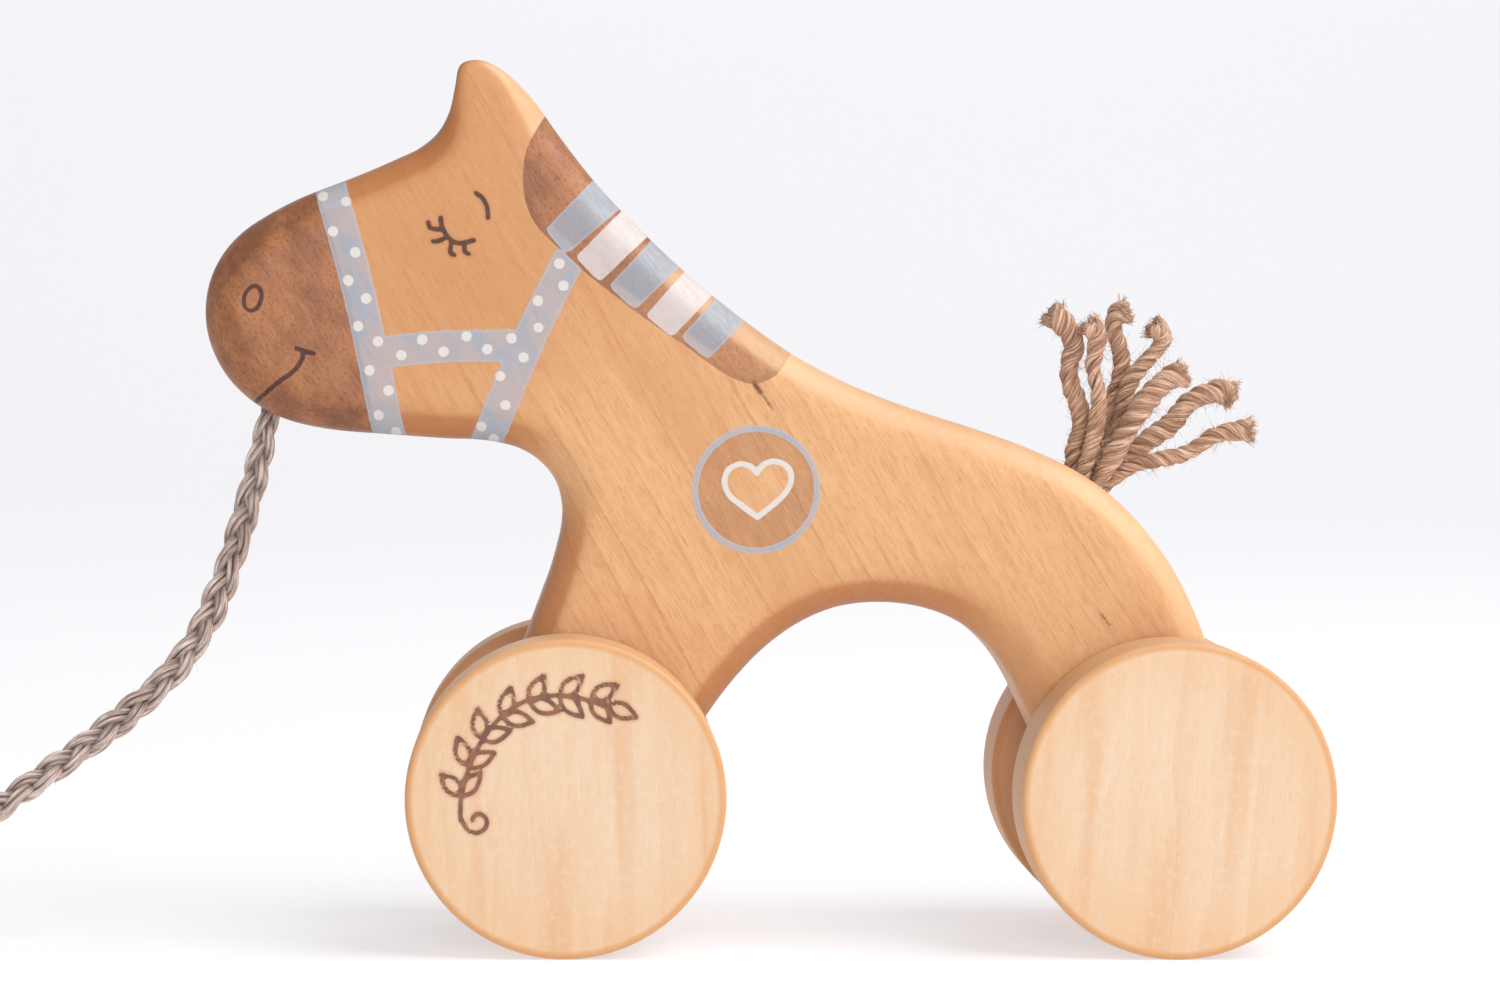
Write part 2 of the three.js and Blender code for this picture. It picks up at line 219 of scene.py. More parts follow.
def ring_faces(rings, sides, caps=True):
    """The faces of a tube of that many rings and sides."""
    faces = []
    for ring in range(rings - 1):
        low = ring * sides
        for k in range(sides):
            right = (k + 1) % sides
            faces.append((low + k, low + right, low + sides + right, low + sides + k))
    if caps:
        faces.append(tuple(range(sides))[::-1])
        faces.append(tuple(range((rings - 1) * sides, rings * sides)))
    return faces


def ring_points(line, side, over, wide, thick, sides, ribs=0, rib_depth=0.0, rib_turn=0.0):
    """The rings of a tube. Ribs are the ridges of its fibres, which turn slowly as they go."""
    angle = np.arange(sides) * 2 * math.pi / sides
    steps = np.arange(len(line))[:, None]
    swell = 1 + rib_depth * np.cos(ribs * angle[None] + rib_turn * steps)
    out = side[:, None] * (np.cos(angle)[None] * swell * np.reshape(wide, (-1, 1)))[..., None]
    out = out + over[:, None] * (np.sin(angle)[None] * swell * np.reshape(thick, (-1, 1)))[..., None]
    return (line[:, None] + out).reshape(-1, 3), angle


def fibre_place(line, angle, radius, along):
    """Where each point of a tube lies on its bundle, in mm: two numbers round and one along."""
    round_it = np.tile(np.stack([np.cos(angle), np.sin(angle)], 1), (len(line), 1))
    return np.column_stack([round_it * radius / MM, along])


def off_line(points, line, sides):
    """How far each point of a tube is from a line with the same rings."""
    return np.linalg.norm(points - np.repeat(line, sides, 0), axis=1)


print("a closed ring of six points has", len(ring_faces(2, 6)), "faces as a short tube")

# %% [markdown]
# ## The pull cord's route
#
# The cord leaves a hole under the muzzle, hangs down and away, and comes to rest on the floor.
# Real pull cords are a little over half a metre long, so that a small child can walk ahead of the
# toy. The length that isn't in use is wound in a flat coil of two turns, and it ends in a stopper
# knot inside the coil. The listed points are the same as in the imported model. The coil's
# turns are worked out: each is a circle, and the second steps one cord's width inwards.

# %% The cord's line
CORD_WIDTH = 5.5 * MM
CORD_ROUTE = [
    (-0.0918, 0, 0.1151), (-0.0936, 0, 0.1087), (-0.0956, 0, 0.1016), (-0.0977, 0, 0.092),
    (-0.1005, -0.0004, 0.081), (-0.1036, -0.001, 0.0706), (-0.1074, -0.002, 0.061),
    (-0.1128, -0.004, 0.0524), (-0.1202, -0.0062, 0.0449), (-0.129, -0.0089, 0.0379),
    (-0.138, -0.0117, 0.0314), (-0.147, -0.0144, 0.0252), (-0.1555, -0.0172, 0.0194),
    (-0.1635, -0.02, 0.014), (-0.1715, -0.023, 0.0092), (-0.18, -0.026, 0.0056),
    (-0.189, -0.0288, 0.0035), (-0.1965, -0.0308, 0.0029),
]
CORD_ROUND_HEIGHT = 2.9 * MM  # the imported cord's centre line where it lies on the floor
CORD_FLAT_HEIGHT = 2.0 * MM  # and the flat plait's
CORD_EXIT = (-0.0956, 0, 0.1016)
CORD_STEP = 0.75 * MM
COIL_POINTS_A_TURN = 24

coil_low, coil_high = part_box("pull_cord_coil")
coil_centre = (coil_low + coil_high) / 2
coil_outer = (coil_high.x - coil_low.x) / 2 - CORD_WIDTH / 2
coil_inner = coil_outer - CORD_WIDTH
knot_low, knot_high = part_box("pull_cord_knot")
knot_centre = (knot_low + knot_high) / 2


def eased(value, low, high):
    """0 below low, 1 above high, and a smooth step between."""
    share = np.clip((value - low) / (high - low), 0, 1)
    return share * share * (3 - 2 * share)


def coil_turns():
    """Two turns, clockwise from above, then a last curl inwards to the knot."""
    full = 2 * math.pi
    turned = np.linspace(0.12, 2 * full - 0.42, round(2 * COIL_POINTS_A_TURN))
    radius = coil_outer - (coil_outer - coil_inner) * eased(turned, full - 1.0, full)
    knot_reach = abs(knot_centre.y - coil_centre.y)
    radius = radius - (coil_inner - knot_reach) * eased(turned, 2 * full - 1.7, 2 * full - 0.5)
    angle = -math.pi / 2 - turned
    x = coil_centre.x + radius * np.cos(angle)
    y = coil_centre.y + radius * np.sin(angle)
    return np.stack([x, y, np.full(len(x), CORD_ROUND_HEIGHT)], 1)


def settled(line):
    """The line, lowered onto the floor by as much as a flat plait is thinner than a round cord."""
    low = line.copy()
    low[:, 2] -= (CORD_ROUND_HEIGHT - CORD_FLAT_HEIGHT) * (1 - eased(line[:, 2] / MM, 3, 16))
    return low


cord_line = settled(smooth_line(np.vstack([CORD_ROUTE, coil_turns()]), CORD_STEP))
print("pull cord", round(length_of(cord_line), 4), "m")
print("coil radii", round(coil_outer, 4), round(coil_inner, 4))

# %% [markdown]
# ## A plait of three
#
# Looked at closely, the cord is a flat plait: three soft bundles of linen yarn that cross over
# each other in turn. Each bundle swings from side to side once for every length of the plait, and
# from front to back twice, a third of a swing after its neighbour. That is all a plait is, so two
# sines make it. Each bundle is four thin yarns that wind slowly round each other. The plait's
# broad side faces the viewer where it hangs and lies flat on the floor, and the cord twists a
# quarter turn on its way down.

# %% Plaiting
PLAIT_LENGTH = 20 * MM  # one full swing
PLAIT_SWING = 1.5 * MM
PLAIT_DEPTH = 0.85 * MM
YARNS = 4  # in each bundle
YARN_TURN = 31 * MM  # the length in which a bundle's yarns go once round each other
YARN_ASIDE = 0.78 * MM
YARN_DEEP = 0.46 * MM
YARN_RADIUS = 0.58 * MM
YARN_SIDES = 11
YARN_RIBS = (4, 0.05, 0.5)  # how many, how deep and how fast they turn
BUNDLES = 3


def facing(line, on_floor):
    """The plait's broad direction and its thin one: thin towards the viewer, then upwards."""
    ahead = unit(np.gradient(line, axis=0))
    thin = np.array([0, -1.0, 0]) * (1 - on_floor[:, None]) + np.array([0, 0, 1.0]) * on_floor[:, None]
    thin = squared(thin, ahead)
    return np.cross(ahead, thin), thin


def plait(shape, line, broad, thin, opening=None):
    """Adds the bundles of a plait along a line. Opening spreads them where the plait comes undone."""
    reach = reach_along(line)
    opening = np.ones(len(line)) if opening is None else opening
    for k in range(BUNDLES):
        swing = 2 * math.pi * (reach / PLAIT_LENGTH + k / BUNDLES)
        aside = (PLAIT_SWING * np.sin(swing) * opening)[:, None]
        deep = (PLAIT_DEPTH * np.sin(2 * swing))[:, None]
        centre = line + broad * aside + thin * deep
        ahead = unit(np.gradient(centre, axis=0))
        over = squared(thin, ahead)
        side = np.cross(over, ahead)
        for yarn in range(YARNS):
            turn = 2 * math.pi * (reach / YARN_TURN + yarn / YARNS) + k
            slack = 1 + 0.14 * np.sin(reach / (1.9 * MM) + 5 * yarn + k)
            middle = centre + side * (YARN_ASIDE * slack * np.cos(turn) * opening**0.5)[:, None]
            middle = middle + over * (YARN_DEEP * slack * np.sin(turn))[:, None]
            plump = 1 + 0.08 * np.sin(reach / (2.3 * MM) + 2 * k + 3 * yarn)
            radius = YARN_RADIUS * plump
            points, angle = ring_points(middle, side, over, radius, radius, YARN_SIDES, *YARN_RIBS)
            along = np.repeat(reach / MM, YARN_SIDES) + 400 * k + 1500 * yarn  # no two alike
            fibre = fibre_place(line, angle, YARN_RADIUS, along)
            off_axis = off_line(points, line, YARN_SIDES)
            off_bundle = off_line(points, centre, YARN_SIDES)
            # Painted shade: darker where a yarn lies deep inside the plait.
            plait_shade = 1 - eased(off_axis / MM, 0.6, 2.2) * eased(off_bundle / MM, 0.55, 1.0)
            shape.add(points, ring_faces(len(line), YARN_SIDES), fibre_mm=fibre, hollow=plait_shade)


cord_shape = Shape()
lying = eased(-cord_line[:, 2], -0.05, -0.006)
squeezed = 0.66 + 0.34 * eased(reach_along(cord_line), 0.014, 0.034)  # the hole holds it together
plait(cord_shape, cord_line, *facing(cord_line, lying), squeezed)
pull_cord = cord_shape.piece("pull_cord_plait")
print("plait:", len(pull_cord.data.polygons), "faces")

# %% [markdown]
# ## The stopper knot
#
# An overhand knot keeps the plait from coming undone, and gives small fingers something to hold.
# Its line is a trefoil with one crossing left open. The same plait runs along it, drawn tight
# until its turns touch. Past the knot the three bundles open into a short tassel.

# %% Knot and tassel
KNOT_SCALE = 1.15 * MM
KNOT_LIFT = 1.5 * MM
TASSEL_LENGTH = 9 * MM
KNOT_STEP = 0.6 * MM
KNOT_POINTS = 40


def knot_line(centre):
    """The line of an overhand knot about a centre, entered from +X and left towards -X."""
    turn = np.linspace(0.35, 2 * math.pi - 0.35, KNOT_POINTS)
    x = np.sin(turn) + 2 * np.sin(2 * turn)
    y = np.cos(turn) - 2 * np.cos(2 * turn)
    z = -np.sin(3 * turn)
    return np.stack([x * KNOT_SCALE, y * KNOT_SCALE, z * KNOT_LIFT], 1) + np.array(centre)


knot_middle = (knot_centre.x, knot_centre.y, 3.9 * MM)
tight = smooth_line(knot_line(knot_middle), KNOT_STEP)
_, tight_side, tight_over = across(tight, (0, 0, 1))
knot_shape = Shape()
plait(knot_shape, tight, tight_side, tight_over)
stopper_knot = knot_shape.piece("stopper_knot")

tassel_start = np.array([knot_centre.x - 3.5 * MM, knot_centre.y, 2.6 * MM])
tassel_middle = tassel_start + (-0.004, 0.001, -0.0004)
tassel_end = tassel_start + (-TASSEL_LENGTH, 0.0035, -0.0006)
tassel_line = smooth_line([tassel_start, tassel_middle, tassel_end], KNOT_STEP)
tassel_shape = Shape()
tassel_open = 1 + 0.9 * np.linspace(0, 1, len(tassel_line)) ** 2
plait(tassel_shape, tassel_line, *facing(tassel_line, np.ones(len(tassel_line))), tassel_open)
tassel = tassel_shape.piece("cord_tassel")
print("knot", round(length_of(tight), 4), "m of cord in it")

# %% [markdown]
# ## The tail
#
# The tail is seven short lengths of jute twine, glued side by side into one slanted hole. Each is
# three plies laid up to the right, so its grooves climb from left to right. The ends were cut
# with scissors and left to fray. A ply is a tube round the strand's line at a constant distance,
# turning once for each lay of the rope, so the twine is built the way a rope walk would make it.

# %% Laying up the twine
TAIL_MOUTH = np.array([63.27, 0, 89.2]) * MM
TAIL_AHEAD = np.array([0.42, 0, 0.907]) / math.hypot(0.42, 0.907)
TAIL_ACROSS = np.array([TAIL_AHEAD[2], 0, -TAIL_AHEAD[0]])  # towards the rump
TAIL_DEPTH = 16 * MM  # how far the twine goes into its hole
SEAT_WIDTH = 3.2 * MM  # a strand squeezed into the hole
SEAT_PITCH = 3.45 * MM
TWINE_LAY = 8.6 * MM
TWINE_STEP = 0.45 * MM
INSIDE_DEPTHS = (-16, -8, -1, 0.8)  # a strand's straight start, in mm from the hole's mouth
PLY_SIDES = 18
PLIES = 3
PLY_OUT = 0.265  # a ply's middle, its radii across and along the strand's girth, in strand widths
PLY_RADII = (0.235, 0.268)
PLY_RIBS = (5, 0.06, 0.16)
CUT_LENGTH = 1.5 * MM  # how far from the cut end the light gets in between the plies

# Where a strand sits in the hole (how many pitches out, and its bearing), how thick it is in
# millimetres, and its route from the hole's mouth in millimetres.
TAIL_STRANDS = [
    (1, 180, 4.0, [(-2.5, -0.3, 6.2), (-1.2, -0.6, 10.6), (-1.9, -0.8, 14.9), (-3.6, -1, 19.2),
                   (-3.8, -1, 22.7), (-2.9, -1, 26.2), (-4.3, -1, 29.7), (-7.4, -1, 32.7)]),
    (1, 240, 3.4, [(0.7, -3.6, 8), (1.5, -4, 13.3), (1.5, -4, 17.6), (0.4, -4, 21.9),
                   (0.9, -4, 25.8), (1.2, -4, 28.4), (-0.6, -4, 30.6)]),
    (1, 120, 3.6, [(3, 3.5, 8.8), (5.1, 3.7, 14.9), (7.2, 3.7, 21.5), (6.8, 3.6, 25.9),
                   (5.5, 3.4, 29.8), (6, 3.2, 32.4), (8, 3, 33.3)]),
    (0, 0, 3.5, [(5.3, 0.2, 7.9), (7, 0.2, 14.1), (8.4, 0.2, 19.3), (11.1, 0.4, 22.9),
                 (14.2, 0.8, 26.4), (14.8, 1, 28.6), (12.8, 1, 30.3)]),
    (1, 300, 4.4, [(7.6, -4.4, 10.7), (10.3, -5, 15.1), (12.8, -5, 18.1), (15.4, -5, 20.3),
                   (18, -5, 21.2)]),
    (1, 60, 4.2, [(7.6, 3.8, 3.8), (12.7, 4, 7.9), (17.1, 4, 11), (20.2, 4, 15),
                  (23.2, 4, 16.8), (26.8, 4, 17.7), (29.4, 4, 16.9)]),
    (1, 0, 3.3, [(9.2, -1.3, 3.1), (13.5, -2, 4.2), (17.9, -2, 5.1), (21.4, -2, 6.8),
                 (24.5, -2, 9), (28, -2, 9.9), (31.9, -2, 10.2)]),
]


def seat_of(out, bearing):
    """The point on the hole's mouth where a strand leaves it."""
    turn = math.radians(bearing)
    aside = TAIL_ACROSS * math.cos(turn) + np.array([0, 1, 0]) * math.sin(turn)
    return TAIL_MOUTH + aside * SEAT_PITCH * out


def strand_line(seat, route):
    """A strand's line, from the bottom of the hole to its cut end."""
    inside = [seat + TAIL_AHEAD * MM * depth for depth in INSIDE_DEPTHS]
    outside = [TAIL_MOUTH + np.array(point) * MM for point in route]
    return smooth_line(inside + outside, TWINE_STEP)


def lay_up(shape, line, width, first_turn):
    """Adds three plies round a line, as wide together as asked at each point."""
    _, side, over = across(line)
    reach = reach_along(line)
    for k in range(PLIES):
        uneven = 0.5 * np.sin(reach / (4.7 * MM) + first_turn)
        uneven = uneven + 0.25 * np.sin(reach / (2.1 * MM) + 2 * k)
        turn = first_turn + 2 * math.pi * (reach / TWINE_LAY + k / PLIES) + uneven
        outward = side * np.cos(turn)[:, None] + over * np.sin(turn)[:, None]
        centre = line + outward * (PLY_OUT * width)[:, None]
        ply_ahead = unit(np.gradient(centre, axis=0))
        outward = squared(outward, ply_ahead)
        beside = np.cross(ply_ahead, outward)
        wide, thick = (share * width for share in PLY_RADII)
        points, angle = ring_points(centre, outward, beside, wide, thick, PLY_SIDES, *PLY_RIBS)
        along = np.repeat(reach / MM, PLY_SIDES) + 70 * k + 10 * first_turn  # no two alike
        fibre = fibre_place(line, angle, 0.25 * np.repeat(width, PLY_SIDES)[:, None], along)
        share = off_line(points, line, PLY_SIDES) / np.repeat(width / 2, PLY_SIDES)
        at_cut = eased(reach, reach[-1] - CUT_LENGTH, reach[-1])
        # Painted shade in the grooves between plies, less near the cut end where light gets in.
        ply_groove_shade = (1 - eased(share, 0.45, 0.9)) * (1 - 0.8 * np.repeat(at_cut, PLY_SIDES))
        shape.add(points, ring_faces(len(line), PLY_SIDES), fibre_mm=fibre, hollow=ply_groove_shade)


# %% [markdown]
# ## Loose fibres
#
# What makes jute look like jute is what has come loose: a brush of fibres at each cut end and a
# haze of short hairs all the way along. Each hair is a thin closed tube with three sides that
# bends away from the strand. A seeded generator picks them, so every run grows the same ones.

# %% Growing loose fibres
chance = np.random.default_rng(11)
HAIR_FLOOR = 0.25 * MM  # no hair goes lower
HAIR_RINGS = 6
HAIR_SIDES = 3


def grow(shape, starts, heads, lengths, thickness, curl):
    """Adds one hair for each start, leaving along its head and curling as it goes."""
    share = np.linspace(0, 1, HAIR_RINGS)[:, None]
    for start, head, length in zip(starts, heads, lengths):
        bend = np.cross(head, chance.normal(size=3))
        wave = np.cross(head, bend)
        line = start + length * (share * head + curl * share**2 * bend + 0.05 * np.sin(5 * share) * wave)
        line[:, 2] = np.maximum(line[:, 2], HAIR_FLOOR)
        _, side, over = across(line, bend + 0.01)
        fine = thickness * (1 - 0.75 * share[:, 0])
        points, _ = ring_points(line, side, over, fine, fine, HAIR_SIDES)
        along = np.repeat(share[:, 0] * length / MM, HAIR_SIDES) + chance.uniform(0, 90)
        fibre = np.column_stack([np.zeros((len(points), 2)), along])
        faces = ring_faces(HAIR_RINGS, HAIR_SIDES)
        shape.add(points, faces, fibre_mm=fibre, hollow=np.zeros(len(points)))


HAIR_LEAN = 1.8  # how far along the cord a hair leans, against one step out of it
HAIR_CURL, END_CURL = 0.3, 0.28
FRAY = 1.2 * MM  # how far back from the cut a brush starts


def hairs_along(shape, line, width, count, longest, thickness):
    """Short hairs that leave the surface of a cord at a slant, either way along it."""
    ahead, side, over = across(line)
    spots = chance.integers(2, len(line) - 2, count)
    turn = chance.uniform(0, 2 * math.pi, count)[:, None]
    outward = side[spots] * np.cos(turn) + over[spots] * np.sin(turn)
    starts = line[spots] + outward * (0.42 * width[spots])[:, None]
    heads = unit(outward + HAIR_LEAN * ahead[spots] * chance.normal(0, 1.2, (count, 1)))
    low = starts[:, 2] < longest
    heads[low, 2] = np.abs(heads[low, 2])
    lengths = longest * chance.uniform(0.25, 1, count) ** 1.6
    grow(shape, starts, heads, lengths, thickness, HAIR_CURL)


def frayed_end(shape, line, width, count, longest, thickness):
    """The brush at a cut end."""
    ahead, side, over = across(line)
    turn = chance.uniform(0, 2 * math.pi, count)[:, None]
    out = np.sqrt(chance.uniform(0, 1, count))[:, None]
    outward = side[-1] * np.cos(turn) + over[-1] * np.sin(turn)
    starts = line[-1] - ahead[-1] * FRAY + outward * out * 0.42 * width[-1]
    heads = unit(ahead[-1] + outward * out * chance.uniform(0.1, 1.1, (count, 1)))
    lengths = FRAY + longest * chance.uniform(0, 1, count) ** 2
    grow(shape, starts, heads, lengths, thickness, END_CURL)


# %% The seven strands
# How many hairs, the longest and their thickness.
TAIL_HAIRS, TAIL_ENDS = (260, 3.0 * MM, 0.055 * MM), (170, 1.5 * MM, 0.14 * MM)
CORD_HAIRS, TASSEL_ENDS = (700, 2.2 * MM, 0.045 * MM), (90, 5 * MM, 0.09 * MM)
FLARE, FLARE_LENGTH = 0.32, 5.5 * MM  # a strand swells towards its cut end


def strand_width(number, thick, reach):
    """How wide a strand is at each point: squeezed in the hole, uneven outside, flared at the end."""
    width = SEAT_WIDTH + (thick * MM - SEAT_WIDTH) * eased(reach, TAIL_DEPTH, TAIL_DEPTH + 7 * MM)
    slow, fast = np.sin(reach / (5.1 * MM) - number), np.sin(reach / (2.3 * MM) + number)
    width = width * (1 + 0.06 * fast + 0.05 * slow)
    return width * (1 + FLARE * eased(reach, reach[-1] - FLARE_LENGTH, reach[-1]))


strand_pieces = []
for number, (out, bearing, thick, route) in enumerate(TAIL_STRANDS, 1):
    seat = seat_of(out, bearing)
    line = strand_line(seat, route)
    reach = reach_along(line)
    width = strand_width(number, thick, reach)
    strand_shape, hair_shape = Shape(), Shape()
    lay_up(strand_shape, line, width, 0.9 * number)
    outside = reach > TAIL_DEPTH
    hairs_along(hair_shape, line[outside], width[outside], *TAIL_HAIRS)
    frayed_end(hair_shape, line, width, *TAIL_ENDS)
    strand = strand_shape.piece(f"tail_twine_{number}")
    hairs = hair_shape.piece(f"tail_fibres_{number}")
    for piece in (strand, hairs):
        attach(piece, "horse")
    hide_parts(f"tail_strand_{number}")
    strand_pieces += [strand, hairs]
    print("strand", number, round(length_of(line), 4), "m")

# %% Hairs on the pull cord
END_POINTS = 30  # no hairs in the hole or at the knot
cord_hairs = Shape()
cord_width = np.full(len(cord_line), CORD_WIDTH * 0.85)
bare_ends = slice(END_POINTS, -END_POINTS)
hairs_along(cord_hairs, cord_line[bare_ends], cord_width[bare_ends], *CORD_HAIRS)
frayed_end(cord_hairs, tassel_line, cord_width, *TASSEL_ENDS)
loose_hairs = cord_hairs.piece("cord_fibres")
print("cord fibres:", len(loose_hairs.data.polygons), "faces")

# %% The cord's pieces, attached to the horse
cord_pieces = [pull_cord, stopper_knot, tassel, loose_hairs]
for piece in cord_pieces:
    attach(piece, "horse")
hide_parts("pull_cord", "pull_cord_coil")
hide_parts("pull_cord_knot")

# %% [markdown]
# ## The board's outline
#
# The body is one board. A maker saws it out with a bandsaw, sands the sawn edge and then runs a
# round-over bit along both sides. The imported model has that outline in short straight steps. Here
# the board is cut once more, at one depth, to read its outline back, and a smooth closed curve is
# drawn through its corners. From here on the drawing is in millimetres, x along the toy and z up.

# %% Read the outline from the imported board
OUTLINE_STEP = 0.7
OUTLINE_DEPTH = -7 * MM
STRAIGHT = math.radians(0.1)  # a corner that turns less than this is only a join
SAME_CORNER = 1  # and two corners this close are one


def spread_out(corners, gap):
    """The corners, without those that crowd the one before."""
    kept = [corners[0]]
    for corner in corners[1:]:
        if min(math.dist(corner, kept[-1]), math.dist(corner, kept[0])) > gap:
            kept.append(corner)
    return np.array(kept)


def sawn_outline(node, depth):
    """The corners of a board's outline at one depth, anticlockwise from its leftmost one, in mm."""
    board = bmesh.new()
    board.from_mesh(nodes[node].data)
    bmesh.ops.remove_doubles(board, verts=board.verts, dist=1e-6)
    parts = board.verts[:] + board.edges[:] + board.faces[:]
    cut = bmesh.ops.bisect_plane(board, geom=parts, plane_co=(0, depth, 0), plane_no=(0, 1, 0))
    left = [part for part in cut["geom_cut"] if isinstance(part, bmesh.types.BMEdge)]
    next_to = {}
    for edge in left:
        for near, far in (edge.verts, reversed(edge.verts)):
            next_to.setdefault(near, []).append(far)
    start = min(next_to, key=lambda corner: (corner.co.x, corner.co.z))
    loop = [start, next_to[start][0]]
    while loop[-1] is not start:
        loop.append(next(far for far in next_to[loop[-1]] if far is not loop[-2]))
    corners = np.array([(corner.co.x, corner.co.z) for corner in loop[:-1]]) / MM
    board.free()
    corners = spread_out(corners, 0.02)
    onward = np.roll(corners, -1, 0) - corners
    heading = np.arctan2(onward[:, 1], onward[:, 0])
    turn = (heading - np.roll(heading, 1) + math.pi) % (2 * math.pi) - math.pi
    if turn.sum() < 0:
        corners, turn = corners[::-1], turn[::-1]
    return spread_out(corners[np.abs(turn) > STRAIGHT], SAME_CORNER)


board_corners = sawn_outline("horse_body", OUTLINE_DEPTH)
outline = smooth_line(board_corners, OUTLINE_STEP, closed=True)
heading = unit(np.roll(outline, -1, 0) - np.roll(outline, 1, 0))
inward = np.stack([-heading[:, 1], heading[:, 0]], 1)
print("outline:", len(board_corners), "corners,", len(outline), "points")

# %% [markdown]
# ## How far the edge can be rounded
#
# A round-over needs room. At the tip of the ear the board is narrower than two radii of the bit,
# so a real edge there is sanded to a smaller radius by hand. For each point of the outline, the
# largest circle that fits inside and touches it says how much room there is.

# %% The round-over's radius along the outline
ROUND_OVER = 6.5
ROOM_SHARE = 0.8
HAND_SANDED = 17  # points over which a change of radius is spread


def room_inside(outline, inward):
    """The radius of the largest circle that fits inside the outline and touches it at each point."""
    gap = outline[None] - outline[:, None]
    ahead = (gap * inward[:, None]).sum(2)
    square = (gap**2).sum(2)
    return np.where(ahead > 1e-6, square / (2 * np.maximum(ahead, 1e-6)), np.inf).min(1)


rounding = np.minimum(ROUND_OVER, ROOM_SHARE * room_inside(outline, inward))
near = np.arange(HAND_SANDED) - HAND_SANDED // 2
around = (np.arange(len(outline))[:, None] + near) % len(outline)
rounding = rounding[around].min(1)
rounding = rounding[around].mean(1)
print("round-over from", round(rounding.min(), 1), "to", round(rounding.max(), 1), "mm")

# %% [markdown]
# ## The drawing on the board
#
# Both sides are decorated by hand: a brown stained muzzle and mane, a halter and mane stripes in
# thin blue-grey and white paint, a stained medallion with a heart, and a face drawn with a hot
# wire. Each mark is kept as a distance, in millimetres, from its edge: negative inside and
# positive outside. A distance can be stored at the mesh's points and still give a crisp edge
# between them, and the shader can make that edge ragged, soft or brushed as it likes.

# %% Distances from lines and patches


def from_line(spots, line):
    """How far each spot is from a line."""
    best = np.full(len(spots), np.inf)
    for start, end in zip(line[:-1], line[1:]):
        along = end - start
        share = np.clip((spots - start) @ along / (along @ along), 0, 1)
        best = np.minimum(best, np.linalg.norm(spots - start - share[:, None] * along, axis=1))
    return best


def from_patch(spots, corners):
    """How far each spot is outside a closed patch, or inside it if negative."""
    inside = np.zeros(len(spots), bool)
    for start, end in zip(corners, np.roll(corners, -1, 0)):
        if start[1] == end[1]:
            continue
        crosses = (start[1] > spots[:, 1]) != (end[1] > spots[:, 1])
        at = start[0] + (end[0] - start[0]) * (spots[:, 1] - start[1]) / (end[1] - start[1])
        inside ^= crosses & (spots[:, 0] < at)
    edge = from_line(spots, np.vstack([corners, corners[:1]]))
    return np.where(inside, -edge, edge)


def brushed(spots, points, width, step=0.8):
    """How far each spot is outside a stroke of that width along a smooth line."""
    return from_line(spots, smooth_line(points, step)) - width / 2


# %% The halter, the stain and the paint
STRAP_WIDTH = 6.1
NOSEBAND = [(-86.3, 153), (-83.3, 143.4), (-77.8, 123.9), (-72.2, 97.5), (-70, 87)]
CHEEK_STRAP = [(-75, 112.8), (-71.9, 113.2), (-62, 114.2), (-49.5, 114.6)]
THROAT_STRAP = [(-33.5, 137.5), (-38.2, 131), (-45.4, 116.3), (-53.3, 97), (-56.6, 88)]
DOTS = [
    (-84.9, 142.5), (-80.4, 141.5), (-82.8, 135.8), (-78.6, 131.9), (-79.9, 126.6), (-76.5, 123.2),
    (-78, 117.9), (-74.2, 115.1), (-75.8, 109.6), (-72.2, 105.8), (-74.1, 101.1), (-70.9, 97.9),
    (-65.9, 115.5), (-69.8, 112.5), (-57.5, 116.2), (-61.8, 113.3), (-53.6, 113.8), (-49, 115.9),
    (-40, 130.2), (-39.2, 126), (-44, 123.1), (-43.9, 118), (-46.7, 112.3), (-51.1, 108.7),
    (-50.1, 103.2), (-54.6, 99.1), (-52.3, 96.7),
]
DOT_RADIUS = 1.0
MANE_EDGE = [
    (-40, 163), (-44.3, 156), (-46.7, 150.5), (-46.8, 143.4), (-44.5, 137.5), (-38, 131.2),
    (-33, 126.9), (-23.2, 119.6), (-16.4, 115.1), (-12.4, 112.2), (-7.5, 109), (-3.6, 107.7),
    (-0.7, 108.2), (2.2, 110.2), (6, 116),
]
MANE_OUTSIDE = [(12, 125), (0, 150), (-25, 168)]
# Each mane stripe: its two corners at the neck's edge, then the two inner ones.
BLUE_STRIPES = [
    ((-33.6, 145.5), (-29.1, 141.1), (-39.3, 132.1), (-42.7, 135.8)),
    ((-22.2, 134.4), (-17.5, 130.2), (-26.3, 121.6), (-30.5, 125.4)),
    ((-9.7, 123.6), (-5.2, 119.8), (-12.3, 112.2), (-16.7, 115.8)),
]
WHITE_STRIPES = [
    ((-27.9, 139.9), (-24, 135.7), (-33, 126.9), (-36.8, 130.8)),
    ((-15.4, 129), (-11.3, 124.8), (-19.2, 116.5), (-23.4, 119.9)),
]
STRIPE_OVERLAP = 9  # how far a stripe is carried on past the neck's edge
STRIPE_CORNER = 0.9
MEDALLION = (-2.2, 87.5)
MEDALLION_RADIUS = 12.3
MEDALLION_BAND = 1.25
HEART_LEFT = [(-2.2, 90.7), (-3.5, 92), (-5.5, 92.4), (-7.6, 91.2), (-8.3, 88.9), (-7.3, 86.4),
              (-4.9, 84.4), (-1.9, 82.2)]
HEART_RIGHT = [(-2.2, 90.7), (-0.7, 92.4), (1.4, 92.9), (3.7, 91.9), (4.5, 89.8), (3.6, 87.2),
               (1.4, 84.9), (-1.9, 82.2)]
HEART_LINE = 1.1


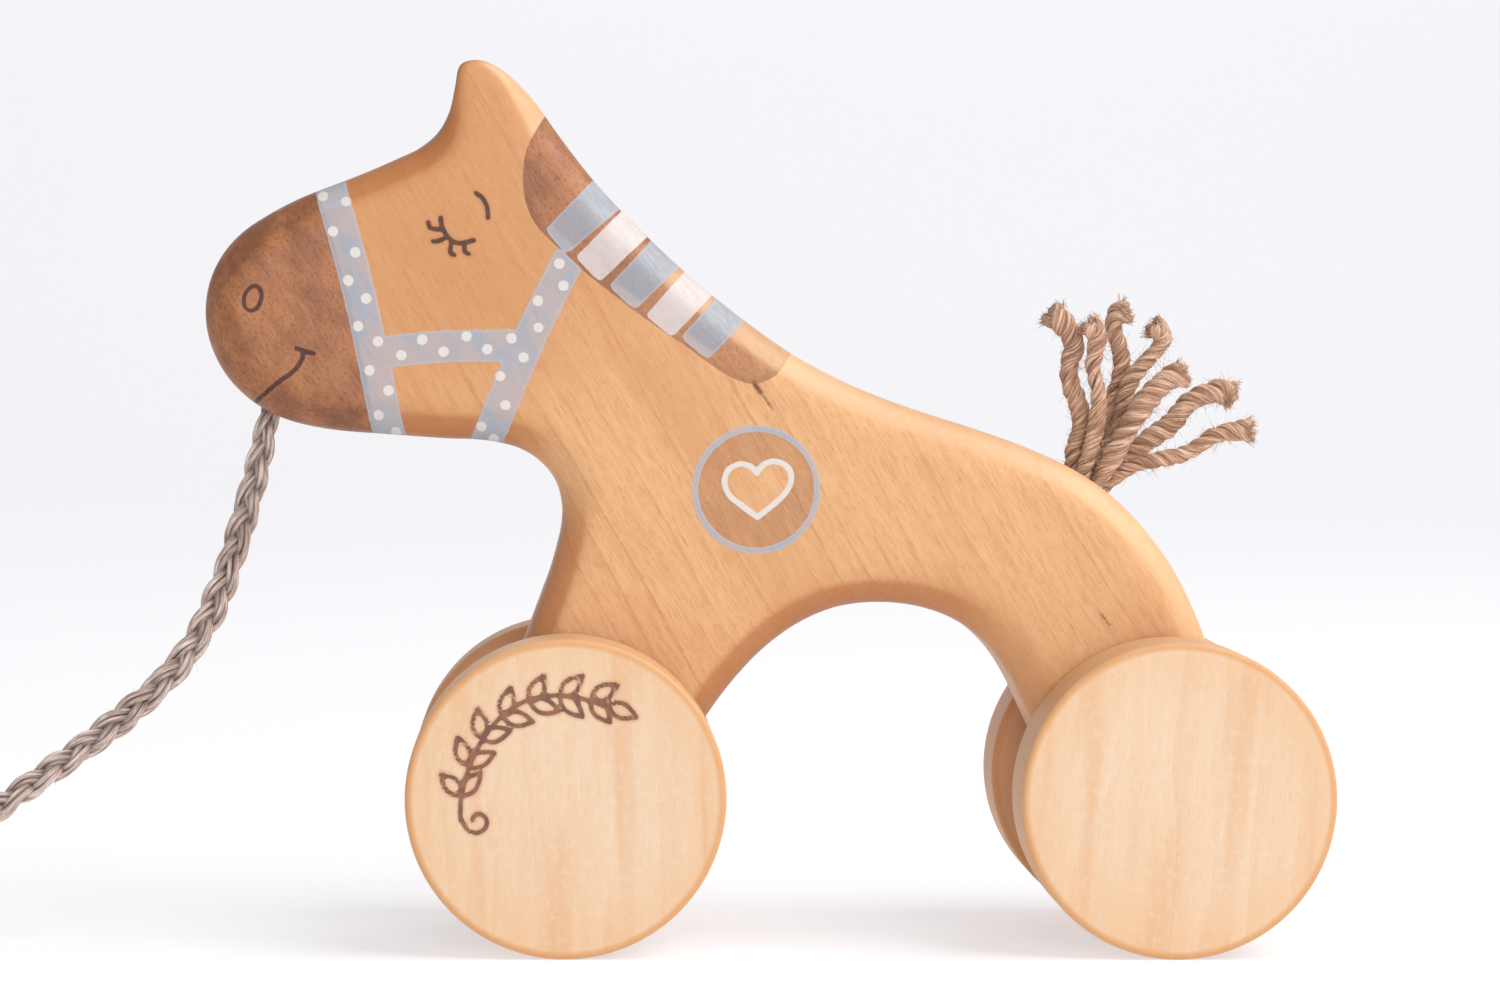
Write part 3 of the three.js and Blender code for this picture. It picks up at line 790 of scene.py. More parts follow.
def stripe(spots, corners):
    """A mane stripe, carried over the neck's edge and with its corners rounded off."""
    top, low, inner_low, inner_top = (np.array(corner, float) for corner in corners)
    top = top + unit(top - inner_top) * STRIPE_OVERLAP
    low = low + unit(low - inner_low) * STRIPE_OVERLAP
    middle = (top + low + inner_low + inner_top) / 4
    shrunk = [c + unit(middle - c) * STRIPE_CORNER * 1.4 for c in (top, low, inner_low, inner_top)]
    return from_patch(spots, np.array(shrunk)) - STRIPE_CORNER


heart_outline = np.vstack([smooth_line(HEART_LEFT, 0.5), smooth_line(HEART_RIGHT, 0.5)[-2:0:-1]])


def stained(spots):
    """Brown stain: the muzzle, the mane and the medallion's disc, but not its heart."""
    muzzle_edge = smooth_line(NOSEBAND, 2)
    muzzle = from_patch(spots, np.vstack([muzzle_edge, [(-130, 87), (-130, 153)]]))
    mane = from_patch(spots, np.vstack([smooth_line(MANE_EDGE, 1), MANE_OUTSIDE]))
    disc = np.linalg.norm(spots - MEDALLION, axis=1) - MEDALLION_RADIUS + MEDALLION_BAND / 2
    heart = from_patch(spots, heart_outline)
    return np.minimum(np.minimum(muzzle, mane), np.maximum(disc, -heart)), mane


def painted_blue(spots, mane):
    """Thin blue-grey paint: the halter, three mane stripes and the medallion's ring."""
    throat = brushed(spots, THROAT_STRAP, STRAP_WIDTH)
    halter = np.minimum(brushed(spots, NOSEBAND, STRAP_WIDTH), brushed(spots, CHEEK_STRAP, STRAP_WIDTH))
    halter = np.minimum(halter, np.maximum(throat, -mane))
    stripes = np.min([stripe(spots, corners) for corners in BLUE_STRIPES], axis=0)
    out = np.linalg.norm(spots - MEDALLION, axis=1)
    ring = np.abs(out - MEDALLION_RADIUS + MEDALLION_BAND / 2) - MEDALLION_BAND / 2
    return np.minimum(np.minimum(halter, stripes), ring)


def painted_white(spots):
    """White paint: the halter's dots, two mane stripes and the heart's outline."""
    dots = np.min([np.linalg.norm(spots - dot, axis=1) for dot in DOTS], axis=0) - DOT_RADIUS
    stripes = np.min([stripe(spots, corners) for corners in WHITE_STRIPES], axis=0)
    closed_heart = np.vstack([heart_outline, heart_outline[:1]])
    heart = from_line(spots, closed_heart) - HEART_LINE / 2
    return np.minimum(np.minimum(dots, heart), stripes)


# %% The face drawn with a hot wire
BURNT_LINE = 0.9
FACE_LINES = [
    [(-62.6, 138.6), (-62.2, 136.7), (-60.9, 134.7), (-59.1, 133.8), (-56.3, 134.4)],  # closed eye
    [(-64.9, 137.7), (-64.5, 136.6), (-62.6, 136.4)],
    [(-64, 134.1), (-63, 134.2), (-61.3, 135)],
    [(-60, 131.6), (-60.7, 132.1), (-60.5, 134)],
    [(-57.2, 131.8), (-58, 132.2), (-58, 134)],
    [(-55.9, 143.3), (-54.6, 142.3), (-53.8, 140.6), (-53.6, 138.7)],  # brow
    [(-98.5, 102.6), (-96.9, 103.9), (-93, 107.2), (-90.4, 109.1), (-88.8, 111.1), (-88.3, 112.9)],
    [(-89.7, 113.6), (-88, 113.1), (-86.4, 112.7)],  # corner of the smile
]
NOSTRIL = (-97.9, 123)
NOSTRIL_RADII = (1.6, 2.4)
NOSTRIL_TILT = math.radians(-17)
KNOT_MARK = [(-2.9, 108), (-1.5, 106)]
KNOT_TRAIL = [(-1.5, 106), (0.9, 102.8)]
FLECK = [(64, 64.5), (66, 62)]


def burnt(spots):
    """The hot wire's lines."""
    turn = np.linspace(0, 2 * math.pi, 33)
    wide, tall = NOSTRIL_RADII[0] * np.cos(turn), NOSTRIL_RADII[1] * np.sin(turn)
    across_it = wide * math.cos(NOSTRIL_TILT) - tall * math.sin(NOSTRIL_TILT)
    up_it = wide * math.sin(NOSTRIL_TILT) + tall * math.cos(NOSTRIL_TILT)
    nostril = from_line(spots, np.stack([across_it, up_it], 1) + NOSTRIL) - 0.4
    lines = [brushed(spots, points, BURNT_LINE, 0.5) for points in FACE_LINES]
    return np.min([nostril, *lines], axis=0)


def knot_marks(spots):
    """Two small dark marks in the wood itself: a pin knot with its trail, and a fleck."""
    knot = from_line(spots, np.array(KNOT_MARK)) - 0.38
    trail = from_line(spots, np.array(KNOT_TRAIL)) - 0.14
    fleck = from_line(spots, np.array(FLECK)) - 0.12
    return np.minimum(np.minimum(knot, trail), fleck)


# %% [markdown]
# ## The board's mesh
#
# The edge is a set of rings: nearly a quarter circle in from each face, with the sawn wall
# between. A router bit leaves a faint ridge where it starts, which catches the light. The two flat
# faces are filled with triangles. They are small where the drawing has thin lines and
# large where the wood is plain, which a Delaunay triangulation does well: it takes any points
# inside the outline and joins them into the fattest triangles it can.

# %% Rings round the edge
ROUND_STEPS = 12
WALL_STEPS = 5
board_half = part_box("horse_body")[1].y / MM
BIT_START = math.radians(79)  # short of a right angle, so the bit leaves a faint ridge on the face
quarter = np.linspace(BIT_START, 0, ROUND_STEPS + 1)


def edge_rings():
    """The rings from the front face to the back one, as points (x, y, z) in mm."""
    rings = []
    for angle in quarter:
        inset = (1 - math.cos(angle)) / (1 - math.cos(BIT_START))
        depth = 1 - math.sin(angle) / math.sin(BIT_START)
        rings.append((rounding * inset, -board_half + rounding * depth))
    for share in np.linspace(0, 1, WALL_STEPS + 1)[1:-1]:
        rings.append((0 * rounding, (2 * share - 1) * (board_half - rounding)))
    rings += [(inset, -depth) for inset, depth in rings[ROUND_STEPS::-1]]
    placed = []
    for inset, depth in rings:
        flat = outline + inward * inset[:, None]
        placed.append(np.column_stack([flat[:, 0], depth, flat[:, 1]]))
    return placed


board_rings = edge_rings()
face_edge = board_rings[0][:, [0, 2]]
print(len(board_rings), "rings of", len(face_edge), "points")

# %% Points inside the faces
FINE = 0.5  # spacing near thin lines, in mm
COARSE_EVERY = 4  # and every fourth point elsewhere
THIN_REACH = 1.5


def face_spots():
    """The points inside a face: a fine triangular grid near thin lines and a coarse one elsewhere."""
    low, high = face_edge.min(0), face_edge.max(0)
    columns = np.arange(int((high[0] - low[0]) / FINE))
    rows = np.arange(int((high[1] - low[1]) / (FINE * 0.866)))
    column, row = (grid.ravel() for grid in np.meshgrid(columns, rows))
    spots = np.stack([low[0] + FINE * (column + 0.5 * (row % 2)), low[1] + FINE * 0.866 * row], 1)
    ring = face_edge[::2]
    inside = from_patch(spots, ring) < -0.45
    spots, column, row = spots[inside], column[inside], row[inside]
    thin = np.abs(painted_white(spots)) < THIN_REACH
    thin |= np.abs(burnt(spots)) < THIN_REACH
    thin |= np.abs(knot_marks(spots)) < THIN_REACH
    out = np.linalg.norm(spots - MEDALLION, axis=1)
    thin |= np.abs(out - MEDALLION_RADIUS + MEDALLION_BAND / 2) < THIN_REACH
    edges = np.abs(painted_blue(spots, stained(spots)[1])) < THIN_REACH
    half = (column % 2 == 0) & (row % 2 == 0)
    coarse = (column % COARSE_EVERY == 0) & (row % COARSE_EVERY == 0)
    far = from_patch(spots, ring) < -1.2
    return spots[thin | (edges & half) | (coarse & far)]


inner_spots = face_spots()
print(len(inner_spots), "points inside each face")

# %% Fill the faces and join them to the rings


def board_mesh():
    """The whole board as one closed mesh, before its holes are drilled."""
    count = len(face_edge)
    flat = np.vstack([face_edge, inner_spots])
    loop = [(k, (k + 1) % count) for k in range(count)]
    spots, _, triangles, origins, _, _ = delaunay_2d_cdt([Vector(spot) for spot in flat], loop, [], 1, 1e-5)
    source = [origin[0] for origin in origins]
    rings = len(board_rings)
    inner = len(inner_spots)
    front = np.column_stack([inner_spots[:, 0], np.full(inner, -board_half), inner_spots[:, 1]])
    back = front * (1, -1, 1)
    points = np.vstack([*board_rings, front, back]) * MM
    faces = [
        (low + k, low + (k + 1) % count, low + count + (k + 1) % count, low + count + k)
        for low in range(0, (rings - 1) * count, count)
        for k in range(count)
    ]
    front_start, back_start, last_ring = rings * count, rings * count + inner, (rings - 1) * count
    for triangle in triangles:
        ids = [source[k] for k in triangle]
        faces.append(tuple(k if k < count else front_start + k - count for k in ids))
        faces.append(tuple(last_ring + k if k < count else back_start + k - count for k in ids[::-1]))
    mesh = bpy.data.meshes.new("horse_board")
    mesh.from_pydata(points.tolist(), [], faces)
    flip = bmesh.new()
    flip.from_mesh(mesh)
    bmesh.ops.recalc_face_normals(flip, faces=flip.faces)
    flip.to_mesh(mesh)
    open_edges = sum(not edge.is_manifold for edge in flip.edges)
    flip.free()
    print("board:", len(mesh.polygons), "faces,", open_edges, "open edges")
    return mesh


board = bpy.data.objects.new("horse_board", board_mesh())
bpy.context.scene.collection.objects.link(board)

# %% [markdown]
# ## Drilling
#
# Four holes are drilled in the board: two right through for the axles, one up under the muzzle
# for the pull cord and one down into the rump for the tail. A drill is a cylinder, and the
# Boolean modifier takes it away from the board. The holes are cut before the drawing's distances
# are stored, so the new points on the holes' rims get theirs too.

# %% Drill the holes
AXLE_HOLE_RADIUS = 5.6 * MM
TAIL_HOLE = (TAIL_MOUTH, TAIL_AHEAD, 5.5 * MM, 18 * MM)
CORD_HOLE = (np.array(CORD_EXIT), unit(np.array([-0.27, 0, -0.963])), 3.1 * MM, 22 * MM)


def drill(place, outward, radius, depth, reach=0.01):
    """A cylinder to drill with, from its depth below a surface to its reach above it."""
    bit = bmesh.new()
    bmesh.ops.create_cone(
        bit, cap_ends=True, segments=64, radius1=radius, radius2=radius, depth=depth + reach
    )
    mesh = bpy.data.meshes.new("drill")
    bit.to_mesh(mesh)
    bit.free()
    made = bpy.data.objects.new("drill", mesh)
    turned = Vector(outward).to_track_quat("Z", "Y").to_matrix().to_4x4()
    middle = Vector(place) + Vector(outward) * (reach - depth) / 2
    made.matrix_world = Matrix.Translation(middle) @ turned
    bpy.context.scene.collection.objects.link(made)
    return made


drills = [drill(*TAIL_HOLE), drill(*CORD_HOLE)]
for axle in (front_axle, rear_axle):
    drills.append(drill(axle, (0, 1, 0), AXLE_HOLE_RADIUS, 0.025, 0.025))
for bit in drills:
    cut = board.modifiers.new("drill", "BOOLEAN")
    cut.object, cut.operation, cut.solver = bit, "DIFFERENCE", "MANIFOLD"
bpy.context.view_layer.update()
drilled = bpy.data.meshes.new_from_object(board.evaluated_get(bpy.context.evaluated_depsgraph_get()))
board.modifiers.clear()
board.data = drilled
drilled.name = "horse_board_drilled"
for bit in drills:
    bpy.data.objects.remove(bit)
SHARP = math.radians(35)
drilled.polygons.foreach_set("use_smooth", [True] * len(drilled.polygons))
drilled.set_sharp_from_angle(angle=SHARP)
print("drilled board:", len(drilled.polygons), "faces")

# %% Store the drawing on the board
BACK_OF_EDGE = 8.5  # dots and drawn lines stop here, measured from the middle of the thickness


def store(mesh, name, values):
    """Keeps one number at each point of a mesh."""
    mesh.attributes.new(name, "FLOAT", "POINT").data.foreach_set("value", np.asarray(values, np.float32))


places = np.empty(len(drilled.vertices) * 3, np.float32)
drilled.vertices.foreach_get("co", places)
places = places.reshape(-1, 3).astype(float) / MM
on_board = places[:, [0, 2]]
off_face = np.maximum(0, BACK_OF_EDGE - np.abs(places[:, 1]))
stain, mane = stained(on_board)
white = painted_white(on_board)
white_stripes = np.min([stripe(on_board, corners) for corners in WHITE_STRIPES], axis=0)
store(drilled, "stain_mm", stain)
store(drilled, "blue_mm", painted_blue(on_board, mane))
store(drilled, "white_mm", np.minimum(white + off_face, white_stripes))
store(drilled, "burnt_mm", burnt(on_board) + off_face)
store(drilled, "knot_mm", knot_marks(on_board) + off_face)
directions = np.empty(len(drilled.vertices) * 3, np.float32)
drilled.vertices.foreach_get("normal", directions)
directions = directions.reshape(-1, 3).astype(float)
GRAIN = (math.cos(math.radians(59)), -math.sin(math.radians(59)))  # the way the board's fibres run
# Painted highlight: the round-over is painted paler where its edge faces this way, up and to the right,
# towards the broad lamp.
HIGHLIGHT_FACING = (math.cos(math.radians(52)), math.sin(math.radians(52)))  # hands wear the back and rump pale
sideways = directions[:, [0, 2]]
tilted = np.linalg.norm(sideways, axis=1)
store(drilled, "end_grain", np.abs(sideways @ np.array(GRAIN)) / np.maximum(tilted, 0.02))
store(drilled, "worn", np.clip(sideways @ np.array(HIGHLIGHT_FACING) / np.maximum(tilted, 0.02), 0, 1) ** 3)
store(drilled, "rounded", 1 - np.abs(directions[:, 1]))
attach(board, "horse")
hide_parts("horse_body")
print("drawing stored at", len(places), "points")

# %% [markdown]
# ## The wheels
#
# Each wheel is a disc turned from a paler wood, with a softened rim and a blind hole in its back
# that the axle is glued into. Turning is exactly what a lathe profile does in code: the profile is
# a list of radii and depths, and it is spun round the axle. The face of the near front wheel has
# closer rings, because a sprig of leaves is burnt into it.

# %% Turn the wheels
RIM_ROUND = 1.0
RIM_STEPS = 8
WHEEL_SIDES = 192
SEAT_RADIUS = 5.3
SEAT_DEPTH = 11
HOLE_EASE = 0.6  # a light chamfer round the hole's mouth


def wheel_profile(radius, thick, face_rings):
    """Radii and depths from the face's middle to the hole's bottom; depth 0 is the outer face."""
    inner = radius - RIM_ROUND
    profile = [(inner * k / face_rings, 0) for k in range(1, face_rings + 1)]
    turn = np.linspace(0, math.pi / 2, RIM_STEPS + 1)[1:]
    profile += [(inner + RIM_ROUND * math.sin(a), RIM_ROUND * (1 - math.cos(a))) for a in turn]
    profile += [(radius, thick * share) for share in (0.33, 0.5, 0.67)]
    profile += [(inner + RIM_ROUND * math.cos(a), thick - RIM_ROUND * (1 - math.sin(a)))
                for a in np.linspace(0, math.pi / 2, RIM_STEPS + 1)]
    seat = SEAT_RADIUS + HOLE_EASE
    profile += [(inner + (seat - inner) * k / 6, thick) for k in range(1, 7)]
    return profile + [(SEAT_RADIUS, thick - HOLE_EASE), (SEAT_RADIUS, thick - SEAT_DEPTH)]


def turned_wheel(name, node, face_rings):
    """A wheel in the place of a packed one, its outer face away from the board."""
    low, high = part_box(node)
    out = -1 if low.y < 0 else 1
    centre = Vector(((low.x + high.x) / 2, low.y if out < 0 else high.y, (low.z + high.z) / 2))
    radius, thick = (high.z - low.z) / 2 / MM, (high.y - low.y) / MM
    profile = wheel_profile(radius, thick, face_rings)
    turn = np.arange(WHEEL_SIDES) * 2 * math.pi / WHEEL_SIDES
    rings = [
        np.column_stack([r * np.cos(turn), np.full(WHEEL_SIDES, -out * depth), r * np.sin(turn)])
        for r, depth in profile
    ]
    middle = len(rings) * WHEEL_SIDES
    points = np.vstack([*rings, [(0, 0, 0), (0, -out * (thick - SEAT_DEPTH), 0)]]) * MM
    faces = ring_faces(len(rings), WHEEL_SIDES, caps=False)
    last = middle - WHEEL_SIDES
    for k in range(WHEEL_SIDES):
        after = (k + 1) % WHEEL_SIDES
        faces += [(middle, after, k), (last + k, last + after, middle + 1)]
    if out > 0:
        faces = [face[::-1] for face in faces]
    mesh = bpy.data.meshes.new(name)
    mesh.from_pydata(points.tolist(), [], faces)
    mesh.polygons.foreach_set("use_smooth", [True] * len(faces))
    mesh.set_sharp_from_angle(angle=SHARP)
    wheel = bpy.data.objects.new(name, mesh)
    wheel.location = centre
    bpy.context.scene.collection.objects.link(wheel)
    return wheel


WHEEL_FACE_RINGS = {"front_left_wheel": 52}
wheels = {}
for node, body in (
    ("front_left_wheel", "front_wheelset"), ("front_right_wheel", "front_wheelset"),
    ("rear_left_wheel", "rear_wheelset"), ("rear_right_wheel", "rear_wheelset"),
):
    wheel = turned_wheel("turned_" + node, node, WHEEL_FACE_RINGS.get(node, 10))
    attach(wheel, body)
    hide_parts(node)
    wheels[node] = wheel
print({name: len(wheel.data.polygons) for name, wheel in wheels.items()})

# %% [markdown]
# ## A sprig on the front wheel
#
# Makers of such toys often burn something personal into one wheel. Here it is a sprig: a curled
# stem that follows the rim, with a pair of leaves at each step. The stem and leaves are drawn in
# polar coordinates about the axle, so they bend with the wheel.

# %% Draw the sprig
SPRIG_RADIUS = 19.5
SPRIG_START, SPRIG_END = math.radians(190), math.radians(66)
SPRIG_LINE = 0.9
LEAF_LENGTH = 5.6
LEAF_WIDTH = 1.35
LEAF_LEAN = math.radians(42)


def on_wheel(radius, angle):
    return np.array([radius * math.cos(angle), radius * math.sin(angle)])


def leaf(base, angle):
    """A leaf's outline: two arcs from its base to its tip."""
    ahead = np.array([math.cos(angle), math.sin(angle)])
    beside = np.array([-ahead[1], ahead[0]])
    share = np.linspace(0, 1, 9)[:, None]
    belly = LEAF_WIDTH * np.sin(math.pi * share**0.8)
    middle = base + ahead * LEAF_LENGTH * share
    return np.vstack([middle + beside * belly, (middle - beside * belly)[-2::-1]])


def sprig_lines():
    """The stem with its curl, then the leaves."""
    stem = [on_wheel(SPRIG_RADIUS + 0.5 * math.sin(4 * a), a)
            for a in np.linspace(SPRIG_START, SPRIG_END, 16)]
    curl_centre = on_wheel(SPRIG_RADIUS - 2.6, SPRIG_START + 0.06)
    curl = []
    for step in np.linspace(0, 1, 12)[::-1]:
        a = SPRIG_START + math.pi * 1.9 * step
        curl.append(curl_centre + 2.6 * (1 - 0.65 * step) * np.array([math.cos(a), math.sin(a)]))
    lines = [smooth_line(curl + stem, 0.4)]
    for k, a in enumerate(np.linspace(SPRIG_START - 0.22, SPRIG_END + 0.18, 7)):
        base = on_wheel(SPRIG_RADIUS, a)
        forward = a - math.pi / 2
        for side in (1, -1):
            lines.append(leaf(base, forward + side * (LEAF_LEAN + 0.08 * math.sin(3 * k + side))))
    lines.append(leaf(on_wheel(SPRIG_RADIUS, SPRIG_END), SPRIG_END - math.pi / 2))
    return lines


near_wheel = wheels["front_left_wheel"].data
spots = np.empty(len(near_wheel.vertices) * 3, np.float32)
near_wheel.vertices.foreach_get("co", spots)
spots = spots.reshape(-1, 3).astype(float) / MM
sprig = np.min([from_line(spots[:, [0, 2]], line) for line in sprig_lines()], axis=0) - SPRIG_LINE / 2
store(near_wheel, "sprig_mm", sprig + 50 * (np.abs(spots[:, 1]) > 0.3))
print("sprig of", len(sprig_lines()), "lines")

# %% [markdown]
# ## Shader maths as plain expressions
#
# Node trees are easy to draw and hard to read back. A small class wraps one output of a node and
# gives it the usual operators, so `1 - mask` adds a Math node, and the sum of two colours adds a
# Mix node. Everything else goes through one method, which takes a node's kind, its settings and
# its inputs.

# %% The Wire and Finish classes


class Wire:
    """One output of a shader node, used like a number, a vector or a colour."""

    def __init__(self, finish, socket):
        self.finish, self.socket = finish, socket

    def join(self, operation, other, swapped=False):
        first, second = (other, self) if swapped else (self, other)
        kinds = {w.socket.type for w in (first, second) if isinstance(w, Wire)}
        if "RGBA" in kinds:
            return self.finish.mixed(first, second, 1.0, operation)
        if "VECTOR" in kinds:
            first, second = ((w,) * 3 if isinstance(w, (int, float)) else w for w in (first, second))
            return self.finish.node("VectorMath", {"operation": operation}, {0: first, 1: second})
        return self.finish.node("Math", {"operation": operation}, {0: first, 1: second})

    def __add__(self, other):
        return self.join("ADD", other)

    def __sub__(self, other):
        return self.join("SUBTRACT", other)

    def __mul__(self, other):
        return self.join("MULTIPLY", other)

    def __truediv__(self, other):
        return self.join("DIVIDE", other)

    def __radd__(self, other):
        return self.join("ADD", other, True)

    def __rsub__(self, other):
        return self.join("SUBTRACT", other, True)

    def __rmul__(self, other):
        return self.join("MULTIPLY", other, True)

    def __rtruediv__(self, other):
        return self.join("DIVIDE", other, True)


def hue(red, green, blue):
    """A colour as a paint chart gives it, turned into the light values that a shader works in."""
    parts = [part / 255 for part in (red, green, blue)]
    return (*[p / 12.92 if p <= 0.04045 else ((p + 0.055) / 1.055) ** 2.4 for p in parts], 1)


class Finish:
    """A material that is being built, node by node."""

    def __init__(self, name):
        self.material = bpy.data.materials.new(name)
        self.material.use_nodes = True
        self.tree = self.material.node_tree
        self.tree.nodes.clear()

    def node(self, kind, settings=None, inputs=None, out=0):
        """Adds a shader node: its settings first, then its inputs. Gives back one of its outputs."""
        made = self.tree.nodes.new("ShaderNode" + kind)
        for name, value in (settings or {}).items():
            if name == "stops":
                ramp = made.color_ramp.elements
                while len(ramp) < len(value):
                    ramp.new(1)
                for stop, (place, colour) in zip(ramp, value):
                    stop.position, stop.color = place, colour
            else:
                setattr(made, name, value)
        for name, value in (inputs or {}).items():
            socket = made.inputs[name]
            if isinstance(value, Wire):
                self.tree.links.new(value.socket, socket)
            else:
                socket.default_value = value
        return Wire(self, made.outputs[out])

    def mixed(self, first, second, share, operation="MIX"):
        """Two colours, mixed or combined."""
        settings = {"data_type": "RGBA", "blend_type": operation}
        return self.node("Mix", settings, {0: share, 6: first, 7: second}, 2)

    def layered(self, colour, *layers):
        """A colour with others laid over it in turn, each with the share of it that shows."""
        for over, share in layers:
            colour = self.mixed(colour, over, share)
        return colour

    def place(self):
        """Where the point is on its piece, in mm."""
        return self.node("TexCoord", out="Object") * 1000.0

    def depth(self):
        """How far the point is from its piece's middle plane, in mm."""
        sideways = self.node("SeparateXYZ", {}, {0: self.place()}, 1)
        return self.node("Math", {"operation": "ABSOLUTE"}, {0: sideways})

    def radius(self, centre=(0.0, 0.0)):
        """How far the point is from a centre, in mm, as seen straight from the side."""
        flat = self.place() * (1.0, 0.0, 1.0) - (centre[0], 0.0, centre[1])
        return self.node("VectorMath", {"operation": "LENGTH"}, {0: flat}, "Value")

    def stored(self, name, kind="FLOAT"):
        """A number, or a vector, that was kept on the mesh."""
        out = {"FLOAT": "Fac", "VECTOR": "Vector"}[kind]
        return self.node("Attribute", {"attribute_name": name}, out=out)

    def ramp(self, value, low, high, start=0.0, end=1.0):
        """A smooth step from start to end as the value goes from low to high."""
        inputs = {"Value": value, "From Min": low, "From Max": high, "To Min": start, "To Max": end}
        return self.node("MapRange", {"interpolation_type": "SMOOTHSTEP"}, inputs)

    def noise(self, where, size, detail=3.0, rough=0.5):
        """Cloudy noise from 0 to 1, with clouds about that many millimetres across."""
        inputs = {"Vector": where, "Scale": 1 / size, "Detail": detail, "Roughness": rough}
        return self.node("TexNoise", {}, inputs)

    def stretched(self, where, factors):
        """The coordinates, each divided by a factor, so that a texture is that much longer there."""
        return where * tuple(1 / factor for factor in factors)

    def surface(self, colour, roughness, height=None, bump=0.3, reach=0.0002, glow=None, **constants):
        """Ends the tree in one surface, and gives back its material."""
        shader = self.tree.nodes.new("ShaderNodeBsdfPrincipled")
        output = self.tree.nodes.new("ShaderNodeOutputMaterial")
        self.tree.links.new(shader.outputs[0], output.inputs[0])
        shader.inputs["Specular IOR Level"].default_value = 0.4
        if glow is not None:
            self.tree.links.new(glow.socket, shader.inputs["Emission Color"])
        for name, value in constants.items():
            shader.inputs[name.replace("_", " ")].default_value = value
        self.tree.links.new(colour.socket, shader.inputs["Base Color"])
        self.tree.links.new(roughness.socket, shader.inputs["Roughness"])
        if height is not None:
            relief = self.node("Bump", {}, {"Strength": bump, "Distance": reach, "Height": height})
            self.tree.links.new(relief.socket, shader.inputs["Normal"])
        return self.material


print("a mid grey of 128 is", round(hue(128, 128, 128)[0], 3), "in light")

# %% [markdown]
# ## Oiled wood
#
# Two woods are used: a warm orange-brown board and paler, plainer discs. Both have the same
# make-up, so one function builds it. Coordinates are turned until the third one runs along the
# fibres. The growth rings are nested cylinders about a line far behind the board, which cuts them
# into stripes of uneven width, each fading in slowly and ending at a sharp dark line, as one
# year's growth does. Over them lie short dark vessel lines, a fine fibre streak and a slow drift
# of tone. Oil soaks deeper into end grain, so it is darker and redder there.

# %% The wood function


def wood_places(wood, tilt, pith):
    """Coordinates in millimetres with the third along the fibres, and the distance from the pith."""
    spot = wood.node("TexCoord", out="Object")
    turned = wood.node("Mapping", {}, {"Vector": spot, "Rotation": (0, tilt, 0), "Scale": (1000,) * 3})
    drift = wood.noise(wood.stretched(turned, (1, 1, 3)), 38, 2) - 0.5
    from_pith = (turned - (pith[0], pith[1], 0.0)) * (1.0, 1.0, 0.0)
    reach = wood.node("VectorMath", {"operation": "LENGTH"}, {0: from_pith}, "Value")
    return turned, reach + drift * 7


def wood_grain(wood, tilt, pith, ring_width):
    """Masks, from 0 to 1, for the rings, their dark lines, the fibres, the vessels and the drift."""
    turned, reach = wood_places(wood, tilt, pith)
    year = reach / ring_width + (wood.noise(wood.stretched(turned, (1, 1, 9)), 6, 3) - 0.5) * 0.7
    growth = wood.node("Math", {"operation": "FRACT"}, {0: year})
    which = wood.node("Math", {"operation": "FLOOR"}, {0: year})
    strong = wood.node("TexWhiteNoise", {"noise_dimensions": "1D"}, {"W": which})
    late = wood.ramp(growth, 0.1, 1.0) * (0.2 + 0.8 * strong)
    line = wood.ramp(growth, 0.8, 0.93) * (1 - wood.ramp(growth, 0.95, 1.0))
    broken = wood.ramp(wood.noise(wood.stretched(turned, (1, 1, 12)), 3, 2), 0.3, 0.6)
    line = line * broken * (0.12 + 0.88 * strong * strong)
    fibre = wood.noise(wood.stretched(turned, (1, 1, 12)), 0.34, 3, 0.65)
    coarse = wood.noise(wood.stretched(turned, (1, 1, 10)), 1.5, 4, 0.6)
    vessel = wood.ramp(wood.noise(wood.stretched(turned, (1, 1, 9)), 0.24, 1), 0.62, 0.74)
    # A painted sheen: lighter bands stretched across the fibres, standing in for the shimmer of light on
    # wood (chatoyance).
    chatoyant_sheen = wood.noise(wood.stretched(turned, (1.6, 1, 1)), 1.3, 3, 0.6)
    slow = wood.noise(wood.stretched(turned, (1, 1, 2.5)), 22, 3)
    return turned, {"late": late, "line": line, "fibre": fibre, "coarse": coarse, "vessel": vessel,
                    "chatoyant_sheen": chatoyant_sheen, "slow": slow}


# %% [markdown]
# ## The board's finish
#
# The layers go on in the order that the maker puts them on: oiled wood, then stain, thin blue-grey
# paint, white paint and last the burnt lines. The stain is blotchy, gathers on the rounded edges
# and shows the fibres. The paint is thin enough for the wood to show through it, and its edge is
# a little uneven, because it is drawn with a brush and no mask.
#
# On the back and the rump the round-over faces up and to the right, towards the broad lamp. There it
# is painted paler, as a highlight, and holds less stain and less dark end grain. Elsewhere the
# round-over cuts across the fibres, soaked up more oil and is darker.

# %% Paint and stain masks


def hand_edge(board, name, where, wobble=0.16, soft=0.12):
    """1 inside a mark and 0 outside, with an edge that wanders as a hand does."""
    slow, quick = board.noise(where, 1.9, 2) - 0.5, board.noise(where, 0.45, 2) - 0.5
    wander = slow * (2 * wobble) + quick * wobble
    return board.ramp(board.stored(name) + wander, -soft, soft, 1.0, 0.0)


HALF_BOARD = 14.0  # mm from the middle plane to a face


